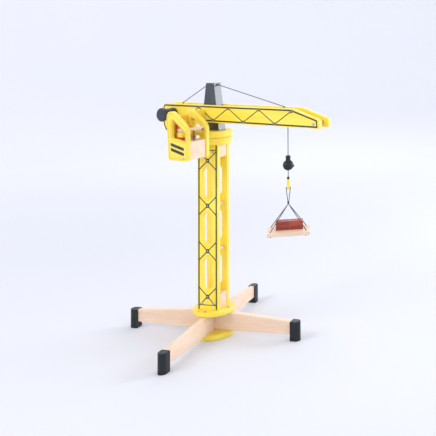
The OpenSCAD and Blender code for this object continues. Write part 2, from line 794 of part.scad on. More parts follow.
leg_beam_long();
leg_beam_cross();
foot_cap_right();
foot_cap_left();
foot_cap_front();
foot_cap_back();
lower_disc();
upper_disc();
disc_screws();
tower_front_panel();
tower_rear_panel();
tower_bottom_block();
tower_top_block();
tower_dowels();
tower_screws();
collar_disc();
slew_dowel();
slew_washer();
slew_screw();
turntable();
mast_block();
jib_near_plate();
jib_far_plate();
jib_tip_spacer();
jib_tip_screws();
stay_pins();
stay_loops();
stay_cord();
roller_pin();
jib_line();
cab_spacer();
cab_near_panel();
cab_far_panel();
cab_back_panel();
cab_floor_block();
cab_crossbar();
cab_screws();
lever_pin();
winch_knob();
winch_shaft();
winch_end_cap();
line_wraps();
guide_roller();
hoist_line();
hook_weight();
hook_cord();
swivel_bead();
load_hook();
sling_cord();
sling_legs();
pallet();
bricks();
control_lever();
lever_knob_pin();
lever_knob();
driver_body();
driver_head();
driver_cap();
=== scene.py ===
import json
import math
import bpy
import bmesh
import numpy as np
from mathutils import Vector, Matrix
from mathutils.geometry import delaunay_2d_cdt, tessellate_polygon


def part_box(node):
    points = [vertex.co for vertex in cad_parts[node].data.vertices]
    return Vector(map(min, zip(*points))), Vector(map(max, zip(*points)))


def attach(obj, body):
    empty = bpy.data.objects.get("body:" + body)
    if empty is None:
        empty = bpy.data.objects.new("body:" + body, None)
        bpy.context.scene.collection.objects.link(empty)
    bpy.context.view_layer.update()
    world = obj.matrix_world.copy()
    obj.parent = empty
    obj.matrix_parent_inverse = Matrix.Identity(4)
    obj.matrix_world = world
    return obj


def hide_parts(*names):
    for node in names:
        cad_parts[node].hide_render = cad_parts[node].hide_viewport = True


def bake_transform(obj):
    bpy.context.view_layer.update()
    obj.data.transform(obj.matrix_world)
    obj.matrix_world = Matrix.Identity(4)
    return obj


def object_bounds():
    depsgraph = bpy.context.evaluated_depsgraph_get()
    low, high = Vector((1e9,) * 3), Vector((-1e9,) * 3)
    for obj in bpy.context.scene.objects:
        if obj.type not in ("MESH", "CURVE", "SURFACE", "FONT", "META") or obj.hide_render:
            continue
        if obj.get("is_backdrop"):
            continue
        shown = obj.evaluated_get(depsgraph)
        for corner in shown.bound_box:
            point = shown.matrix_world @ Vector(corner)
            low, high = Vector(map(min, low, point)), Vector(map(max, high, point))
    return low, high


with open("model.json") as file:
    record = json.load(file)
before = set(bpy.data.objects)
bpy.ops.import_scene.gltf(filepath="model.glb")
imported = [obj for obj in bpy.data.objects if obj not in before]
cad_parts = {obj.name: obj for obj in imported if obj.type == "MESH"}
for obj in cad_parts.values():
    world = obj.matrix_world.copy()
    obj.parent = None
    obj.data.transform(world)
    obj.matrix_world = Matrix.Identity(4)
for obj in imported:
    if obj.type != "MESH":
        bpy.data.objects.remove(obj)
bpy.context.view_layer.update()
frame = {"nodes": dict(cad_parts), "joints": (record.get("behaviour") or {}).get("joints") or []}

MM = 0.001
NODES = frame["nodes"]
SC = bpy.context.scene
JOINT = {j["name"]: j for j in frame["joints"]}

# The three directions the object is laid out on: the jib runs along X, the tower and its
# foot cross are turned from it, and so is the load.
TOWER = math.radians(14.5)
LOAD = math.radians(37.5)


def rot_z(a):
    return Matrix.Rotation(a, 4, "Z")


def verts_of(node):
    me = NODES[node].data
    co = np.zeros(len(me.vertices) * 3)
    me.vertices.foreach_get("co", co)
    return co.reshape(-1, 3)


def lbox(node, a=0.0):
    """A node's box in a frame turned by a about Z."""
    v = verts_of(node)
    c, s = math.cos(-a), math.sin(-a)
    w = np.stack([v[:, 0] * c - v[:, 1] * s, v[:, 0] * s + v[:, 1] * c, v[:, 2]], 1)
    return w.min(0), w.max(0)


def islands(node, a=0.0):
    """Boxes of a node's separate solids, in a frame turned by a about Z."""
    me = NODES[node].data
    bm = bmesh.new()
    bm.from_mesh(me)
    bmesh.ops.remove_doubles(bm, verts=bm.verts, dist=1e-6)
    bm.verts.ensure_lookup_table()
    seen, out = set(), []
    r = rot_z(-a)
    for v in bm.verts:
        if v.index in seen:
            continue
        stack, pts = [v], []
        seen.add(v.index)
        while stack:
            q = stack.pop()
            pts.append(r @ q.co)
            for e in q.link_edges:
                o = e.other_vert(q)
                if o.index not in seen:
                    seen.add(o.index)
                    stack.append(o)
        p = np.array(pts)
        out.append((p.min(0), p.max(0)))
    bm.free()
    out.sort(key=lambda b: tuple(np.round(b[0], 5)))
    return out


# ---------------------------------------------------------------- materials

class Mat:
    """A small helper that writes a node tree."""

    def __init__(self, name):
        self.m = bpy.data.materials.new(name)
        self.m.use_nodes = True
        self.t = self.m.node_tree
        self.t.nodes.clear()
        self.out = self.node("ShaderNodeOutputMaterial")
        self.b = self.node("ShaderNodeBsdfPrincipled")
        self.t.links.new(self.b.outputs[0], self.out.inputs["Surface"])
        self.tc = self.node("ShaderNodeTexCoord")

    def node(self, kind, **kw):
        n = self.t.nodes.new(kind)
        for k, v in kw.items():
            setattr(n, k, v)
        return n

    def put(self, sock, v):
        if isinstance(v, bpy.types.NodeSocket):
            self.t.links.new(v, sock)
        elif v is not None:
            if isinstance(v, (tuple, list)) and len(v) == 3 and sock.type == "RGBA":
                v = (*v, 1)
            sock.default_value = v

    def math(self, op, a, b=None, c=None, clamp=False):
        n = self.node("ShaderNodeMath", operation=op, use_clamp=clamp)
        for i, v in enumerate((a, b, c)):
            self.put(n.inputs[i], v)
        return n.outputs[0]

    def vmath(self, op, a, b=None, s=None):
        n = self.node("ShaderNodeVectorMath", operation=op)
        self.put(n.inputs[0], a)
        self.put(n.inputs[1], b)
        if s is not None:
            self.put(n.inputs["Scale"], s)
        return n.outputs["Value"] if op in ("DOT_PRODUCT", "LENGTH", "DISTANCE") else n.outputs[0]

    def xyz(self, x, y, z):
        n = self.node("ShaderNodeCombineXYZ")
        for i, v in enumerate((x, y, z)):
            self.put(n.inputs[i], v)
        return n.outputs[0]

    def noise(self, vec, scale=1.0, detail=2.0, rough=0.5, dist=0.0):
        n = self.node("ShaderNodeTexNoise")
        self.put(n.inputs["Vector"], vec)
        self.put(n.inputs["Scale"], scale)
        self.put(n.inputs["Detail"], detail)
        self.put(n.inputs["Roughness"], rough)
        self.put(n.inputs["Distortion"], dist)
        return n.outputs[0]

    def rng(self, v, a0, a1, b0, b1, smooth=False):
        n = self.node("ShaderNodeMapRange", clamp=True)
        if smooth:
            n.interpolation_type = "SMOOTHSTEP"
        for i, x in enumerate((v, a0, a1, b0, b1)):
            self.put(n.inputs[i], x)
        return n.outputs[0]

    def mix(self, f, a, b, mode="MIX"):
        n = self.node("ShaderNodeMix", data_type="RGBA", blend_type=mode)
        self.put(n.inputs[0], f)
        self.put(n.inputs[6], a)
        self.put(n.inputs[7], b)
        return n.outputs[2]

    def bump(self, h, dist, strength=1.0, normal=None):
        n = self.node("ShaderNodeBump")
        self.put(n.inputs["Height"], h)
        self.put(n.inputs["Distance"], dist)
        self.put(n.inputs["Strength"], strength)
        if normal is not None:
            self.put(n.inputs["Normal"], normal)
        return n.outputs[0]

    def edge(self, radius):
        """1 on rounded edges, 0 on flats."""
        bv = self.node("ShaderNodeBevel", samples=4)
        bv.inputs["Radius"].default_value = radius
        g = self.node("ShaderNodeNewGeometry")
        d = self.vmath("DOT_PRODUCT", bv.outputs[0], g.outputs["Normal"])
        return self.rng(d, 0.999, 0.90, 0.0, 1.0)

    def grain(self, direction):
        """Object coordinates in millimetres with X along the grain, shifted piece by piece."""
        g = Vector(direction).normalized()
        up = Vector((0, 0, 1)) if abs(g.z) < 0.9 else Vector((1, 0, 0))
        a = g.cross(up).normalized()
        b = g.cross(a).normalized()
        p = self.tc.outputs["Object"]
        info = self.node("ShaderNodeObjectInfo")
        k = self.math("MULTIPLY", info.outputs["Random"], 900.0)
        s = [self.math("MULTIPLY", self.vmath("DOT_PRODUCT", p, tuple(v)), 1000.0) for v in (g, a, b)]
        s = [self.math("ADD", s[0], k), self.math("ADD", s[1], self.math("MULTIPLY", info.outputs["Random"], 37.0)), s[2]]
        self.rand = info.outputs["Random"]
        return s


def srgb(r, g, b):
    return tuple((c / 255 / 12.92) if c / 255 <= 0.04045 else ((c / 255 + 0.055) / 1.055) ** 2.4 for c in (r, g, b))


def wood(name, base, dark, light, direction, ring=4.2, ringf=0.30, fibre=0.35, fleck=0.5, rough=0.42,
         coat=0.25, bumpy=0.05, wear=None, wearf=0.0, pith=(38.0, -55.0), varied=0.10, per_brick=False, coat_rough=0.28):
    m = Mat(name)
    x, y, z = m.grain(direction)
    # growth rings about a pith that lies outside the piece, wandering slowly along it
    wander = m.noise(m.xyz(m.math("MULTIPLY", x, 0.006), m.math("MULTIPLY", y, 0.03), m.math("MULTIPLY", z, 0.03)), 1.0, 3.0, 0.55)
    r = m.vmath("LENGTH", m.xyz(0.0, m.math("ADD", y, pith[0]), m.math("ADD", z, pith[1])))
    r = m.math("ADD", r, m.math("MULTIPLY", wander, 16.0))
    t = m.math("DIVIDE", r, ring)
    saw = m.math("FRACT", t)
    late = m.math("MULTIPLY", m.math("POWER", saw, 3.5), m.rng(saw, 0.93, 1.0, 1.0, 0.0))
    late = m.math("MULTIPLY", late, m.rng(m.noise(m.xyz(m.math("FLOOR", t), 0.0, 0.0), 0.37, 1.0), 0.3, 0.7, 0.35, 1.0))
    # fibres and the short flecks that beech shows
    f1 = m.noise(m.xyz(m.math("MULTIPLY", x, 0.035), m.math("MULTIPLY", y, 1.1), m.math("MULTIPLY", z, 1.1)), 1.0, 4.0, 0.62)
    f2 = m.noise(m.xyz(m.math("MULTIPLY", x, 0.42), m.math("MULTIPLY", y, 2.2), m.math("MULTIPLY", z, 2.2)), 1.0, 2.0, 0.5)
    flecks = m.rng(f2, 0.63, 0.72, 0.0, 1.0, True)
    big = m.noise(m.xyz(m.math("MULTIPLY", x, 0.012), m.math("MULTIPLY", y, 0.05), m.math("MULTIPLY", z, 0.05)), 1.0, 2.0, 0.5)
    col = m.mix(m.rng(big, 0.3, 0.7, 0.0, 1.0, True), base, light)
    col = m.mix(m.math("MULTIPLY", late, ringf), col, dark)
    col = m.mix(m.math("MULTIPLY", m.rng(f1, 0.42, 0.75, 0.0, 1.0), fibre), col, dark)
    col = m.mix(m.math("MULTIPLY", flecks, fleck), col, dark)
    hv = m.node("ShaderNodeHueSaturation")
    m.put(hv.inputs["Value"], m.rng(m.rand, 0.0, 1.0, 1.0 - varied * 0.5, 1.0 + varied * 0.4))
    m.put(hv.inputs["Color"], col)
    col = hv.outputs[0]
    if per_brick:
        cell = m.node("ShaderNodeTexWhiteNoise", noise_dimensions="3D")
        m.put(cell.inputs["Vector"], per_brick(m))
        hb = m.node("ShaderNodeHueSaturation")
        m.put(hb.inputs["Value"], m.rng(cell.outputs["Value"], 0.0, 1.0, 0.74, 1.20))
        m.put(hb.inputs["Color"], col)
        col = hb.outputs[0]
    rg = m.math("ADD", m.math("MULTIPLY", f1, 0.16), rough - 0.08)
    rg = m.math("ADD", rg, m.math("MULTIPLY", flecks, 0.10))
    if wearf > 0:
        e = m.edge(0.0016)
        chips = m.noise(m.xyz(m.math("MULTIPLY", x, 0.25), m.math("MULTIPLY", y, 0.25), m.math("MULTIPLY", z, 0.25)), 1.0, 3.0, 0.6)
        e = m.math("MULTIPLY", e, m.rng(chips, 0.36, 0.66, 0.15, 1.0, True))
        col = m.mix(m.math("MULTIPLY", e, wearf), col, wear or light)
    m.put(m.b.inputs["Base Color"], col)
    m.put(m.b.inputs["Roughness"], rg)
    m.put(m.b.inputs["Coat Weight"], coat)
    m.put(m.b.inputs["Coat Roughness"], coat_rough)
    h = m.math("SUBTRACT", m.math("MULTIPLY", f1, 0.6), m.math("MULTIPLY", flecks, 0.7))
    h = m.math("SUBTRACT", h, m.math("MULTIPLY", late, 0.35))
    m.put(m.b.inputs["Normal"], m.bump(h, bumpy * MM, 0.8))
    return m.m


D_TOWER_X = (math.cos(TOWER), math.sin(TOWER), 0)
D_TOWER_Y = (-math.sin(TOWER), math.cos(TOWER), 0)
D_LOAD_X = (math.cos(LOAD), math.sin(LOAD), 0)
D_LOAD_Y = (-math.sin(LOAD), math.cos(LOAD), 0)

Y_BASE, Y_DARK, Y_LIGHT = srgb(251, 221, 60), srgb(235, 182, 38), srgb(254, 232, 88)
B_BASE, B_DARK, B_LIGHT = srgb(241, 211, 182), srgb(206, 160, 124), srgb(247, 224, 202)
S_BASE, S_DARK, S_LIGHT = srgb(30, 42, 47), srgb(18, 25, 28), srgb(44, 58, 64)
_cache = {}


def yellow(direction):
    k = ("y",) + tuple(round(c, 3) for c in direction)
    if k not in _cache:
        _cache[k] = wood("yellow_glaze_%d" % len(_cache), Y_BASE, Y_DARK, Y_LIGHT, direction, ring=5.0, ringf=0.22,
                         fibre=0.20, fleck=0.30, rough=0.40, coat=0.30, bumpy=0.045, wear=srgb(255, 234, 96), wearf=0.35, varied=0.05)
    return _cache[k]


def warm_bounce_yellow(direction):
    """The cab's back in a deeper orange yellow: painted warm bounce light, standing in for the orange light reflected
    inside the cab.
    """
    if "warm_bounce_yellow" not in _cache:
        _cache["warm_bounce_yellow"] = wood("cab_back_painted_bounce", srgb(252, 204, 58), srgb(238, 152, 34), srgb(254, 216, 82), direction, ring=5.0, ringf=0.25,
                               fibre=0.24, fleck=0.30, rough=0.40, coat=0.30, bumpy=0.045, wear=srgb(255, 228, 96), wearf=0.35, varied=0.05)
    return _cache["warm_bounce_yellow"]


def beech(direction, kind=""):
    k = ("b", kind) + tuple(round(c, 3) for c in direction)
    if k not in _cache:
        _cache[k] = wood("beech_%d" % len(_cache), B_BASE, B_DARK, B_LIGHT, direction, ring=4.4, ringf=0.42,
                         fibre=0.34, fleck=0.62, rough=0.46, coat=0.12, bumpy=0.05, varied=0.08)
    return _cache[k]


def slate(direction, kind=""):
    k = ("s", kind) + tuple(round(c, 3) for c in direction)
    if k not in _cache and kind == "foot":
        _cache[k] = wood("slate_feet", srgb(14, 20, 22), srgb(8, 11, 12), srgb(23, 31, 34), direction, ring=5.0, ringf=0.25,
                         fibre=0.35, fleck=0.35, rough=0.44, coat=0.16, coat_rough=0.24, bumpy=0.03, wear=srgb(78, 92, 96), wearf=0.45, varied=0.06)
        next(n for n in _cache[k].node_tree.nodes if n.type == "BSDF_PRINCIPLED").inputs["Specular IOR Level"].default_value = 0.34
    if k not in _cache and kind == "knob":
        _cache[k] = wood("slate_knob", srgb(24, 34, 37), srgb(15, 21, 23), srgb(36, 48, 52), direction, ring=5.0, ringf=0.25,
                         fibre=0.35, fleck=0.35, rough=0.38, coat=0.4, coat_rough=0.22, bumpy=0.03, wear=srgb(84, 98, 104), wearf=0.45, varied=0.06)
    if k not in _cache:
        _cache[k] = wood("slate_lacquer_%d" % len(_cache), S_BASE, S_DARK, S_LIGHT, direction, ring=5.0, ringf=0.25,
                         fibre=0.35, fleck=0.35, rough=0.30, coat=0.9, coat_rough=0.16, bumpy=0.03, wear=srgb(92, 106, 114), wearf=0.45, varied=0.06)
    return _cache[k]


def red(direction, kind="glaze"):
    k = ("r", kind) + tuple(round(c, 3) for c in direction)
    if k not in _cache:
        if kind == "brick":
            def cells(m):
                p = m.tc.outputs["Object"]
                hook = JOINT["hook_swivel"]["pos_m"]
                q = m.vmath("SUBTRACT", p, (hook[0], hook[1], 0.0))
                u = m.math("FLOOR", m.math("MULTIPLY", m.math("SUBTRACT", m.vmath("DOT_PRODUCT", q, D_LOAD_X), 0.002), 1 / 0.0296))
                w = m.math("FLOOR", m.math("MULTIPLY", m.math("SUBTRACT", m.vmath("DOT_PRODUCT", q, (0, 0, 1)), BRICK_Z), 1 / 0.00945))
                return m.xyz(u, 3.0, w)
            _cache[k] = wood("brick_red", srgb(164, 62, 44), srgb(104, 34, 26), srgb(188, 84, 60), direction, ring=3.0, ringf=0.45,
                             fibre=0.55, fleck=0.5, rough=0.52, coat=0.08, bumpy=0.07, wear=srgb(222, 146, 116), wearf=0.75, per_brick=cells)
        else:
            _cache[k] = wood("red_glaze_%d" % len(_cache), srgb(214, 46, 34), srgb(158, 26, 22), srgb(232, 70, 52), direction, ring=3.0,
                             ringf=0.25, fibre=0.25, fleck=0.25, rough=0.34, coat=0.5, bumpy=0.03, wear=srgb(240, 130, 100), wearf=0.25)
    return _cache[k]


BRICK_Z = float(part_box("bricks")[0].z)


def driver_wood():
    """Red trousers below, yellow jacket above, with a clean painted line round the chest."""
    mt = red((0, 0, 1), "driver")
    m = Mat.__new__(Mat)
    m.m, m.t = mt, mt.node_tree
    b = next(n for n in m.t.nodes if n.type == "BSDF_PRINCIPLED")
    line = JOINT["driver_turn"]["pos_m"][2] + 0.0078
    tc = next(n for n in m.t.nodes if n.type == "TEX_COORD")
    sep = m.node("ShaderNodeSeparateXYZ")
    m.put(sep.inputs[0], tc.outputs["Object"])
    wob = m.noise(tc.outputs["Object"], 220.0, 1.0)
    zz = m.math("ADD", sep.outputs[2], m.math("MULTIPLY", wob, 0.0004))
    f = m.rng(zz, line, line + 0.0003, 0.0, 1.0)
    old = b.inputs["Base Color"].links[0].from_socket
    m.put(b.inputs["Base Color"], m.mix(f, old, Y_BASE))
    return mt


def brown():
    if "brown" not in _cache:
        _cache["brown"] = wood("brown_stain", srgb(134, 74, 36), srgb(84, 42, 20), srgb(158, 94, 50), (0, 0, 1), ring=2.2, ringf=0.4,
                               fibre=0.5, fleck=0.5, rough=0.42, coat=0.25, bumpy=0.04, wear=srgb(190, 130, 80), wearf=0.4)
    return _cache["brown"]


def white_lacquer():
    if "white" not in _cache:
        m = Mat("white_lacquer")
        p = m.tc.outputs["Object"]
        n1 = m.noise(p, 420.0, 3.0)
        n2 = m.noise(p, 90.0, 2.0)
        m.put(m.b.inputs["Base Color"], m.mix(m.rng(n2, 0.35, 0.7, 0.0, 1.0), srgb(244, 243, 238), srgb(226, 223, 214)))
        m.put(m.b.inputs["Roughness"], m.rng(n1, 0.3, 0.7, 0.18, 0.34))
        m.put(m.b.inputs["Coat Weight"], 0.5)
        m.put(m.b.inputs["Normal"], m.bump(n1, 0.02 * MM, 0.5))
        _cache["white"] = m.m
    return _cache["white"]


def steel():
    if "steel" not in _cache:
        m = Mat("zinc_plated_steel")
        p = m.tc.outputs["Object"]
        n1 = m.noise(p, 2600.0, 3.0, 0.7)
        n2 = m.noise(p, 500.0, 3.0, 0.6)
        m.put(m.b.inputs["Base Color"], m.mix(m.rng(n2, 0.35, 0.7, 0.0, 1.0), srgb(206, 208, 212), srgb(160, 164, 170)))
        m.put(m.b.inputs["Metallic"], 1.0)
        m.put(m.b.inputs["Roughness"], m.rng(n1, 0.3, 0.7, 0.22, 0.42))
        m.put(m.b.inputs["Normal"], m.bump(n1, 0.01 * MM, 0.5))
        _cache["steel"] = m.m
    return _cache["steel"]


def cord_mat():
    if "cord" not in _cache:
        m = Mat("twisted_cord")
        p = m.tc.outputs["Object"]
        n1 = m.noise(p, 3200.0, 4.0, 0.7)
        n2 = m.noise(p, 340.0, 2.0)
        col = m.mix(m.rng(n1, 0.3, 0.72, 0.0, 1.0), srgb(50, 55, 58), srgb(94, 100, 104))
        col = m.mix(m.math("MULTIPLY", m.rng(n2, 0.4, 0.7, 0.0, 1.0), 0.35), col, srgb(42, 46, 48))
        m.put(m.b.inputs["Base Color"], col)
        m.put(m.b.inputs["Roughness"], 0.88)
        m.put(m.b.inputs["Sheen Weight"], 0.35)
        m.put(m.b.inputs["Normal"], m.bump(n1, 0.06 * MM, 0.9))
        _cache["cord"] = m.m
    return _cache["cord"]


def ink(kind="dark"):
    """Screen-printed line: a thin matt film over the glaze, a little worn and uneven."""
    key = "ink_" + kind
    if key not in _cache:
        m = Mat("print_" + kind)
        p = m.tc.outputs["Object"]
        n1 = m.noise(p, 700.0, 4.0, 0.65)
        n2 = m.noise(p, 70.0, 2.0)
        pal = {"dark": (srgb(48, 50, 36), srgb(68, 66, 36)), "bolt": (srgb(196, 204, 176), srgb(160, 168, 140)),
               "stripe": (srgb(42, 46, 48), srgb(58, 62, 62)), "fine": (srgb(176, 150, 30), srgb(140, 124, 40))}[kind]
        col = m.mix(m.rng(n2, 0.35, 0.7, 0.0, 1.0), pal[0], pal[1])
        col = m.mix(m.rng(n1, 0.70, 0.78, 0.0, 0.7), col, Y_BASE)
        m.put(m.b.inputs["Base Color"], col)
        m.put(m.b.inputs["Roughness"], m.rng(n1, 0.3, 0.7, 0.42, 0.62))
        m.put(m.b.inputs["Coat Weight"], 0.15)
        m.put(m.b.inputs["Normal"], m.bump(n1, 0.015 * MM, 0.6))
        _cache[key] = m.m
    return _cache[key]


def paint(obj, mat):
    if not obj.material_slots:
        obj.data.materials.append(mat)
    for s in obj.material_slots:
        s.material = mat


# ---------------------------------------------------------------- mesh helpers

def new_obj(name, verts, faces, mat, body, replaces=(), smooth=True):
    me = bpy.data.meshes.new(name)
    me.from_pydata([tuple(v) for v in verts], [], faces)
    me.validate()
    bm = bmesh.new()
    bm.from_mesh(me)
    bmesh.ops.recalc_face_normals(bm, faces=bm.faces)
    bm.to_mesh(me)
    bm.free()
    me.update()
    if smooth:
        for p in me.polygons:
            p.use_smooth = True
    ob = bpy.data.objects.new(name, me)
    SC.collection.objects.link(ob)
    me.materials.append(mat)
    if body:
        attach(ob, body)
    if replaces:
        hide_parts(*replaces)
    return ob


def weighted(ob):
    m = ob.modifiers.new("normals", "WEIGHTED_NORMAL")
    m.mode = "FACE_AREA"
    m.weight = 90
    m.keep_sharp = False
    return m


def clean_cad(node, width, seg=3, angle=32, clamp=False):
    """Rounds the edges of a carried-over part with modifiers; its own mesh stays as it is."""
    ob = NODES[node]
    for p in ob.data.polygons:
        p.use_smooth = True
    w = ob.modifiers.new("weld", "WELD")
    w.merge_threshold = 2e-6
    d = ob.modifiers.new("flat", "DECIMATE")
    d.decimate_type = "DISSOLVE"
    d.angle_limit = math.radians(0.4)
    if width > 0:
        b = ob.modifiers.new("round", "BEVEL")
        b.width = width * MM
        b.segments = seg
        b.limit_method = "ANGLE"
        b.angle_limit = math.radians(angle)
        b.use_clamp_overlap = clamp
        b.miter_outer = "MITER_ARC"
    weighted(ob)
    return ob


def offset_loop(loop, d):
    """Moves a closed outline inwards (d > 0 for an outline drawn counter-clockwise)."""
    n = len(loop)
    out = []
    for i in range(n):
        p0, p1, p2 = Vector(loop[i - 1]), Vector(loop[i]), Vector(loop[(i + 1) % n])
        a, b = (p1 - p0), (p2 - p1)
        if a.length < 1e-9 or b.length < 1e-9:
            out.append(tuple(p1))
            continue
        a.normalize()
        b.normalize()
        na, nb = Vector((-a.y, a.x)), Vector((-b.y, b.x))
        m = na + nb
        if m.length < 1e-6:
            m = na
        m.normalize()
        k = max(0.35, m.dot(na))
        out.append(tuple(p1 + m * (d / k)))
    return out


def area(loop):
    return 0.5 * sum(loop[i - 1][0] * loop[i][1] - loop[i][0] * loop[i - 1][1] for i in range(len(loop)))


def arc_pts(cx, cz, r, a0, a1, n):
    return [(cx + r * math.cos(math.radians(a0 + (a1 - a0) * i / n)), cz + r * math.sin(math.radians(a0 + (a1 - a0) * i / n)))
            for i in range(n + 1)]


def plate(name, outer, holes, y0, y1, r, mat, body, replaces, place=None, seg=4, hole_r=None):
    """A flat board in X and Z between y0 and y1 (metres), every edge rounded to r."""
    if area(outer) < 0:
        outer = outer[::-1]
    holes = [h if area(h) < 0 else h[::-1] for h in holes]
    loops = [outer] + holes
    verts, faces = [], []
    caps = {0: [], 1: []}
    for li, lp in enumerate(loops):
        rr = r if li == 0 or hole_r is None else hole_r
        rings = []
        for side in (0, 1):
            ks = range(seg + 1) if side == 0 else range(seg, -1, -1)
            for k in ks:
                t = math.pi / 2 * k / seg          # 0 at the flat face, 90 degrees at the side wall
                d = rr * (1 - math.sin(t))
                h = rr * (1 - math.cos(t))
                y = y0 + h if side == 0 else y1 - h
                rings.append([(p[0], y, p[1]) for p in offset_loop(lp, d)])
        base = len(verts)
        n = len(lp)
        for rg in rings:
            verts.extend(rg)
        for a in range(len(rings) - 1):
            for i in range(n):
                j = (i + 1) % n
                faces.append((base + a * n + i, base + a * n + j, base + (a + 1) * n + j, base + (a + 1) * n + i))
        caps[0].append([base + i for i in range(n)])
        caps[1].append([base + (len(rings) - 1) * n + i for i in range(n)])
    for side in (0, 1):
        flat = [i for lp in caps[side] for i in lp]
        polys = [[Vector((verts[i][0], verts[i][2], 0)) for i in lp] for lp in caps[side]]
        for tri in tessellate_polygon(polys):
            faces.append(tuple(flat[i] for i in tri))
    if place is not None:
        verts = [tuple(place @ Vector(v)) for v in verts]
    ob = new_obj(name, verts, faces, mat, body, replaces)
    weighted(ob)
    return ob


def circle_pts(cx, cz, r, n=14):
    return [(cx + r * math.cos(2 * math.pi * i / n), cz + r * math.sin(2 * math.pi * i / n)) for i in range(n)]


def stroke(points, width, closed=False, n=12):
    """Polygons that together draw a line of a given width with round joins."""
    out = []
    pts = list(points)
    seq = list(zip(pts, pts[1:] + ([pts[0]] if closed else [])))
    for a, b in seq:
        a, b = Vector(a), Vector(b)
        d = b - a
        if d.length < 1e-9:
            continue
        d.normalize()
        q = Vector((-d.y, d.x)) * width / 2
        out.append([tuple(a + q), tuple(a - q), tuple(b - q), tuple(b + q)])
    inner = pts if closed else pts[1:-1]
    out += [circle_pts(p[0], p[1], width / 2, n) for p in inner]
    return out


def film(name, polys, place, mat, body, top=0.00009, under=0.00005):
    """A printed film: the union of the polygons, a closed layer on the face X-Z of place, facing -Y."""
    vs, fs = [], []
    for p in polys:
        if area(p) < 0:
            p = p[::-1]
        k = len(vs)
        vs += [Vector(q) for q in p]
        fs.append(list(range(k, k + len(p))))
    co, _, tri, _, _, source = delaunay_2d_cdt(vs, [], fs, 1, 1e-7)
    tri = [t for t, o in zip(tri, source) if o]
    n = len(co)
    verts = [(c.x, -top, c.y) for c in co] + [(c.x, under, c.y) for c in co]
    faces, edges = [], {}
    for t in tri:
        faces.append(tuple(t))
        faces.append(tuple(n + i for i in reversed(t)))
        for a, b in zip(t, t[1:] + t[:1]):
            edges[(a, b)] = edges.get((a, b), 0) + 1
    for (a, b) in edges:
        if (b, a) not in edges:
            faces.append((a, b, n + b, n + a))
    verts = [tuple(place @ Vector(v)) for v in verts]
    return new_obj(name, verts, faces, mat, body, smooth=False)


def tube(path, radii, sides=10, closed=False, cap=True):
    """Vertices and faces of a tube along a path."""
    n = len(path)
    P = [Vector(p) for p in path]
    verts, faces = [], []
    t0 = (P[1] - P[0]).normalized()
    up = Vector((0, 0, 1)) if abs(t0.z) < 0.9 else Vector((1, 0, 0))
    nrm = t0.cross(up).normalized()
    prev = t0
    for i in range(n):
        if closed:
            t = (P[(i + 1) % n] - P[i - 1]).normalized()
        else:
            t = (P[min(i + 1, n - 1)] - P[max(i - 1, 0)]).normalized()
        ax = prev.cross(t)
        if ax.length > 1e-9:
            nrm = Matrix.Rotation(prev.angle(t), 3, ax.normalized()) @ nrm
        nrm = (nrm - t * nrm.dot(t)).normalized()
        bn = t.cross(nrm)
        prev = t
        rad = radii[i] if isinstance(radii, (list, tuple)) else radii
        for k in range(sides):
            a = 2 * math.pi * k / sides
            verts.append(P[i] + (nrm * math.cos(a) + bn * math.sin(a)) * rad)
    for i in range(n if closed else n - 1):
        j = (i + 1) % n
        for k in range(sides):
            l = (k + 1) % sides
            faces.append((i * sides + k, i * sides + l, j * sides + l, j * sides + k))
    if cap and not closed:
        faces.append(tuple(range(sides - 1, -1, -1)))
        faces.append(tuple((n - 1) * sides + k for k in range(sides)))
    return verts, faces


def resample(path, step):
    P = [Vector(p) for p in path]
    out = [P[0]]
    for a, b in zip(P, P[1:]):
        k = max(1, int(math.ceil((b - a).length / step)))
        out += [a.lerp(b, i / k) for i in range(1, k + 1)]
    return out


def rope_mesh(path, r=0.00095, pitch=0.0042, sides=7, per=9, phase=0.0):
    """Three strands laid round a path."""
    P = resample(path, pitch / per)
    n = len(P)
    t = (P[1] - P[0]).normalized()
    up = Vector((0, 0, 1)) if abs(t.z) < 0.9 else Vector((1, 0, 0))
    nrm = t.cross(up).normalized()
    prev, s = t, 0.0
    frames = []
    for i in range(n):
        t = (P[min(i + 1, n - 1)] - P[max(i - 1, 0)]).normalized()
        ax = prev.cross(t)
        if ax.length > 1e-9:
            nrm = Matrix.Rotation(prev.angle(t), 3, ax.normalized()) @ nrm
        nrm = (nrm - t * nrm.dot(t)).normalized()
        if i:
            s += (P[i] - P[i - 1]).length
        frames.append((P[i], nrm, t.cross(nrm), s))
        prev = t
    V, F = [], []
    for k in range(3):
        strand = []
        for p, a, b, s in frames:
            th = 2 * math.pi * (s / pitch + k / 3) + phase
            strand.append(p + (a * math.cos(th) + b * math.sin(th)) * r * 0.50)
        v, f = tube(strand, r * 0.53, sides)
        base = len(V)
        V += v
        F += [tuple(base + i for i in q) for q in f]
    return V, F


def merge(parts):
    V, F = [], []
    for v, f in parts:
        base = len(V)
        V += [tuple(x) for x in v]
        F += [tuple(base + i for i in q) for q in f]
    return V, F


def knot_mesh(centre, size, r, axis=(0, 0, 1), turn=0.0):
    """An overhand knot drawn tight: a trefoil of cord."""
    q = Vector((0, 0, 1)).rotation_difference(Vector(axis).normalized()).to_matrix()
    rz = Matrix.Rotation(turn, 3, "Z")
    pts = []
    for i in range(54):
        t = 2 * math.pi * i / 54
        p = Vector((math.sin(t) + 2 * math.sin(2 * t), math.cos(t) - 2 * math.cos(2 * t), -1.3 * math.sin(3 * t))) * (size / 3.0)
        pts.append(Vector(centre) + q @ (rz @ p))
    return tube(pts, r, 8, closed=True)


